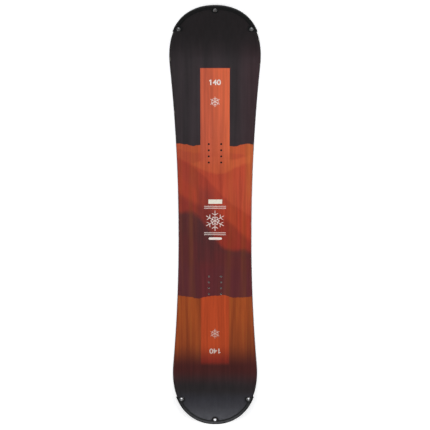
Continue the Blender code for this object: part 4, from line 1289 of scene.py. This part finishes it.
def moulded_guard(name, tip):
    """The guard's surface in the flat, as a swept section cut square at both ends."""
    stations = guard_stations(tip)
    rings = []
    for station, width in zip(stations, flange_width(stations, tip)):
        section = guard_section(width)
        rings.append(np.column_stack([station[:2] + section[:, :1] * station[2:], section[:, 1]]))
    piece = swept(name, np.array(rings))
    bm = bmesh.new()
    bm.from_mesh(piece.data)
    end = tip * (end_bolts(tip) - LUG_TAIL)
    cut_faces = bmesh.ops.bisect_plane(bm, geom=bm.verts[:] + bm.edges[:] + bm.faces[:], dist=WELD / 2,
                                       plane_co=(0, end, 0), plane_no=(0, -tip, 0), clear_outer=True)
    open_edges = [e for e in cut_faces["geom_cut"] if isinstance(e, bmesh.types.BMEdge)]
    bmesh.ops.edgeloop_fill(bm, edges=open_edges)
    bm.to_mesh(piece.data)
    bm.free()
    return welded(piece)


moulded = Finish("moulded_guard", Roughness=0.3)
off_band = moulded.between(moulded.attribute("band_distance"), BAND_HALF_WIDTH - BAND_BLUR,
                           BAND_HALF_WIDTH + BAND_BLUR)
pores = moulded.noise(1500.0)
scuffs = moulded.noise(90.0, detail=6.0, roughness=0.7)
scuffed = moulded.between(scuffs, 0.6, 0.72, 0.0, 0.6)
moulded.colour(moulded.mix(scuffed, GUARD_BLACK, GUARD_WORN))
polish = moulded.between(scuffs, 0.3, 0.7, 0.28, 0.35)
moulded.roughness(moulded.math("MULTIPLY_ADD", off_band, 0.4, polish))
moulded.relief(pores, 0.00003)
for tip_name, tip in TIPS:
    guard = moulded_guard(f"{tip_name}_guard_moulding", tip)
    press_mesh(guard.data)
    drill(guard, bolt_places(tip), BOLT_SHANK + 2 * HOLE_GAP)
    drill(guard, bolt_places(tip), NUT_HOLE, high=CORE_LEVEL)
    drill(guard, bolt_places(tip), NUT_FLANGE + 2 * HOLE_GAP,
          high=guard_low + NUT_FLANGE_THICKNESS + HOLE_GAP)
    mark_distance(guard, "band_distance", BAND_INSET, TIP_TOP)
    moulded.dress(guard)
    put_on(guard, "guard_plastic", f"{tip_name}_guard")


# Each guard is clamped by three button-head bolts with hexagon sockets, screwed into sleeve nuts
# whose flanges lie flush in the guard's lower side. All are zinc plated.
BOLT_HEAD = 0.0122
BOLT_HEAD_HEIGHT = 0.0028
BOLT_RIM = 0.0004
HEX_SIZE = 0.0036
HEX_DEPTH = 0.0014
CROWN_STEPS = 8
SOCKET_TOOL_LENGTH = 0.01
ZINC_BRIGHT = (0.94, 0.94, 0.95, 1.0)
ZINC_CLOUDED = (0.74, 0.74, 0.75, 1.0)
ZINC_SHADED = (0.50, 0.50, 0.50, 1.0)


def stand_tree():
    """A piece stood on each point, upright along the point's own direction."""
    tree, given = new_tree("stand_on_points", {"Piece": "Object", "Material": "Material"})
    stand = add_node(tree, "GeometryNodeInputNamedAttribute", {
        "Name": "stand"}, data_type="FLOAT_VECTOR").outputs[0]
    turn = add_node(tree, "FunctionNodeAlignRotationToVector", {"Vector": stand}, axis="Z").outputs[0]
    place_pieces(tree, given, given["Geometry"], Rotation=turn)
    return tree


def guard_points(name, height):
    """Six points at a height above the base, each with the direction square to the board there."""
    foot = [on_board(x, along, height) for x, along in BOLTS]
    stand = [(on_board(x, along, height + 1.0) - on_board(x, along, height)) for x, along in BOLTS]
    carrier = mesh_piece(name, foot, [])
    ways = carrier.data.attributes.new("stand", "FLOAT_VECTOR", "POINT")
    ways.data.foreach_set("vector", np.ravel(stand))
    return carrier


bolt_seat = guard_high + SEAT_GAP / 2
nut_foot = guard_low
shank, head = BOLT_SHANK / 2, BOLT_HEAD / 2
bolt_end = nut_foot + NUT_FLANGE_THICKNESS - bolt_seat
crown = [(head * math.sin(t), BOLT_RIM + (BOLT_HEAD_HEIGHT - BOLT_RIM) * math.cos(t))
         for t in np.linspace(0, math.pi / 2, CROWN_STEPS)]
bolt = turned_piece("bolt", crown + [
    (head - BOLT_RIM / 2, 0.0), (shank, 0.0), (shank, bolt_end), (0.0, bolt_end)])
socket = bmesh.new()
add_rod(socket, 2 * HEX_SIZE / math.sqrt(3), SOCKET_TOOL_LENGTH, Matrix.Translation(
    (0, 0, BOLT_HEAD_HEIGHT - HEX_DEPTH + SOCKET_TOOL_LENGTH / 2)), sides=6)
cut(bolt, as_mesh("socket", socket))
bright = Finish("bright_zinc", Metallic=1.0, Roughness=0.25)
bright_cloud = bright.noise(700.0, detail=4.0)
# The nose's bolt heads are painted a darker grey, as painted shade, and are made rougher there too.
nose_painted_shade = bright.between(bright.y, 0.0, 0.3)
shine = bright.mix(bright_cloud, ZINC_CLOUDED, ZINC_BRIGHT)
bright.colour(bright.mix(nose_painted_shade, shine, ZINC_SHADED))
polish = bright.between(bright_cloud, 0.3, 0.7, 0.14, 0.26)
bright.roughness(bright.math("MULTIPLY_ADD", nose_painted_shade, 0.16, polish))
bright.relief(bright_cloud, 0.00001)
STAND_TREE = stand_tree()
bolts = run_tree(guard_points("bolt_points", bolt_seat), STAND_TREE,
                 {"Piece": bolt, "Material": bright.material}, "guard_bolts")
put_on(bolts, "guard_bolt", *[n for n in sorted(nodes) if "_bolt_" in n])
bpy.data.objects.remove(bolt)

nut_top = TIP_TOP - nut_foot - SEAT_GAP
nut_bore, nut_barrel, nut_flange = NUT_BORE / 2, NUT_BARREL / 2, NUT_FLANGE / 2
nut = turned_piece("nut", [
    (nut_bore, nut_top), (nut_barrel, nut_top), (nut_barrel, NUT_FLANGE_THICKNESS),
    (nut_flange, NUT_FLANGE_THICKNESS), (nut_flange, BOLT_RIM / 2), (nut_flange - BOLT_RIM, 0.0),
    (nut_bore, 0.0)])
nuts = run_tree(guard_points("nut_points", nut_foot), STAND_TREE,
                {"Piece": nut, "Material": plated.material}, "sleeve_nuts")
put_on(nuts, "sleeve_nut", *[n for n in sorted(nodes) if "_nut_" in n])
bpy.data.objects.remove(nut)


# The studio is a white floor that runs on to a white surround, under two large side lights and a
# softbox past the nose, whose sheen lies on the turned-up tail.
FLOOR_SIZE = 60.0
FLOOR_GLOW = 0.45
FLOOR_DROP = 0.0006
FLOOR_GREY = (0.90, 0.90, 0.90, 1.0)
SURROUND_TOP = 0.12
SURROUND_NOSE = 1.0
SURROUND_TAIL = 0.16
RISE_TO_NOSE = (-0.3, 0.6)
DIM_OVERHEAD = (0.1, 0.7)
WHITE = (1.0, 1.0, 1.0, 1.0)
SIDE_LIGHT_OUT = 2.6
SIDE_LIGHT_UP = 2.2
SIDE_LIGHT_SIZE = (1.4, 2.4)
SIDE_LIGHT_POWER = 57.0
MIDDLE = (0.0, 0.0, 0.0)
SOFTBOX_PLACE = (0.0, 1.95, 4.2)
SOFTBOX_AIM = (0.0, -0.4, 0.0)
SOFTBOX_SIZE = (2.5, 2.1)
SOFTBOX_POWER = 42.0
SOFTBOX_COOL = (0.91, 0.93, 1.0)


def white_floor():
    """A large floor just under the board, which keeps the board's shadow."""
    bpy.ops.mesh.primitive_plane_add(size=FLOOR_SIZE, location=(0.0, 0.0, -FLOOR_DROP))
    floor = bpy.context.active_object
    floor.name = "studio_floor"
    paper = Finish("studio_paper", Base_Color=FLOOR_GREY, Roughness=0.9, Specular_IOR_Level=0.0,
                   Emission_Color=WHITE)
    seen = add_node(paper.tree, "ShaderNodeLightPath", {}).outputs["Is Camera Ray"]
    feed(paper.tree, paper.shader.inputs["Emission Strength"], paper.times(seen, FLOOR_GLOW))
    paper.dress(floor)


def soft_surround():
    """White for the camera, and for all else an even light, dimmer overhead and past the tail."""
    world = bpy.data.worlds.new("studio")
    bpy.context.scene.world = world
    world.use_nodes = True
    tree = world.node_tree
    place = add_node(tree, "ShaderNodeTexCoord", {}).outputs["Generated"]
    apart = add_node(tree, "ShaderNodeSeparateXYZ", {0: place}).outputs
    low = add_range(tree, apart["Y"], *RISE_TO_NOSE, SURROUND_TAIL, SURROUND_NOSE, "LINEAR")
    light = add_range(tree, apart["Z"], *DIM_OVERHEAD, low, SURROUND_TOP, "LINEAR")
    ray = add_node(tree, "ShaderNodeLightPath", {}).outputs["Is Camera Ray"]
    strength = add_node(tree, "ShaderNodeMix", {0: ray, 2: light, 3: 1.0}, data_type="FLOAT").outputs[0]
    background = tree.nodes["Background"].inputs
    background["Color"].default_value = WHITE
    feed(tree, background["Strength"], strength)


def soft_light(name, place, aim, size, power, colour=(1.0, 1.0, 1.0), mirrored=True):
    """An area light that faces a point, and may be kept out of reflections."""
    data = bpy.data.lights.new(name, "AREA")
    data.color = colour
    data.shape = "RECTANGLE"
    data.size, data.size_y = size
    data.energy = power
    lamp = in_scene(name, data)
    lamp.location = place
    lamp.visible_glossy = mirrored
    lamp.rotation_euler = (Vector(aim) - Vector(place)).to_track_quat("-Z", "Y").to_euler()


white_floor()
soft_surround()
for side_name, side in SIDES[::-1]:
    soft_light("side_light_" + side_name, (side * SIDE_LIGHT_OUT, 0.0, SIDE_LIGHT_UP), MIDDLE,
               SIDE_LIGHT_SIZE, SIDE_LIGHT_POWER, mirrored=False)
soft_light("nose_softbox", SOFTBOX_PLACE, SOFTBOX_AIM, SOFTBOX_SIZE, SOFTBOX_POWER, SOFTBOX_COOL)


# The camera stands high over the board, a little toward the nose, and looks down and back at its
# middle through a long lens, with the nose at the top of the square picture.
PHOTO_SIZE = 430
FOCAL_PIXELS = 1100.1
SENSOR_WIDTH = 36.0
CAMERA_DISTANCE = 3.6
CAMERA_TILT = math.radians(13.0)
AIM_ALONG = 0.0179
camera_data = bpy.data.cameras.new("photo_camera")
camera_data.sensor_width = SENSOR_WIDTH
camera_data.lens = FOCAL_PIXELS / PHOTO_SIZE * SENSOR_WIDTH
camera = in_scene("photo_camera", camera_data)
camera.location = (0.0, AIM_ALONG + CAMERA_DISTANCE * math.sin(CAMERA_TILT),
                   CAMERA_DISTANCE * math.cos(CAMERA_TILT))
camera.rotation_euler = (-CAMERA_TILT, 0.0, 0.0)
bpy.context.scene.camera = camera
bpy.context.scene.view_settings.view_transform = "Standard"
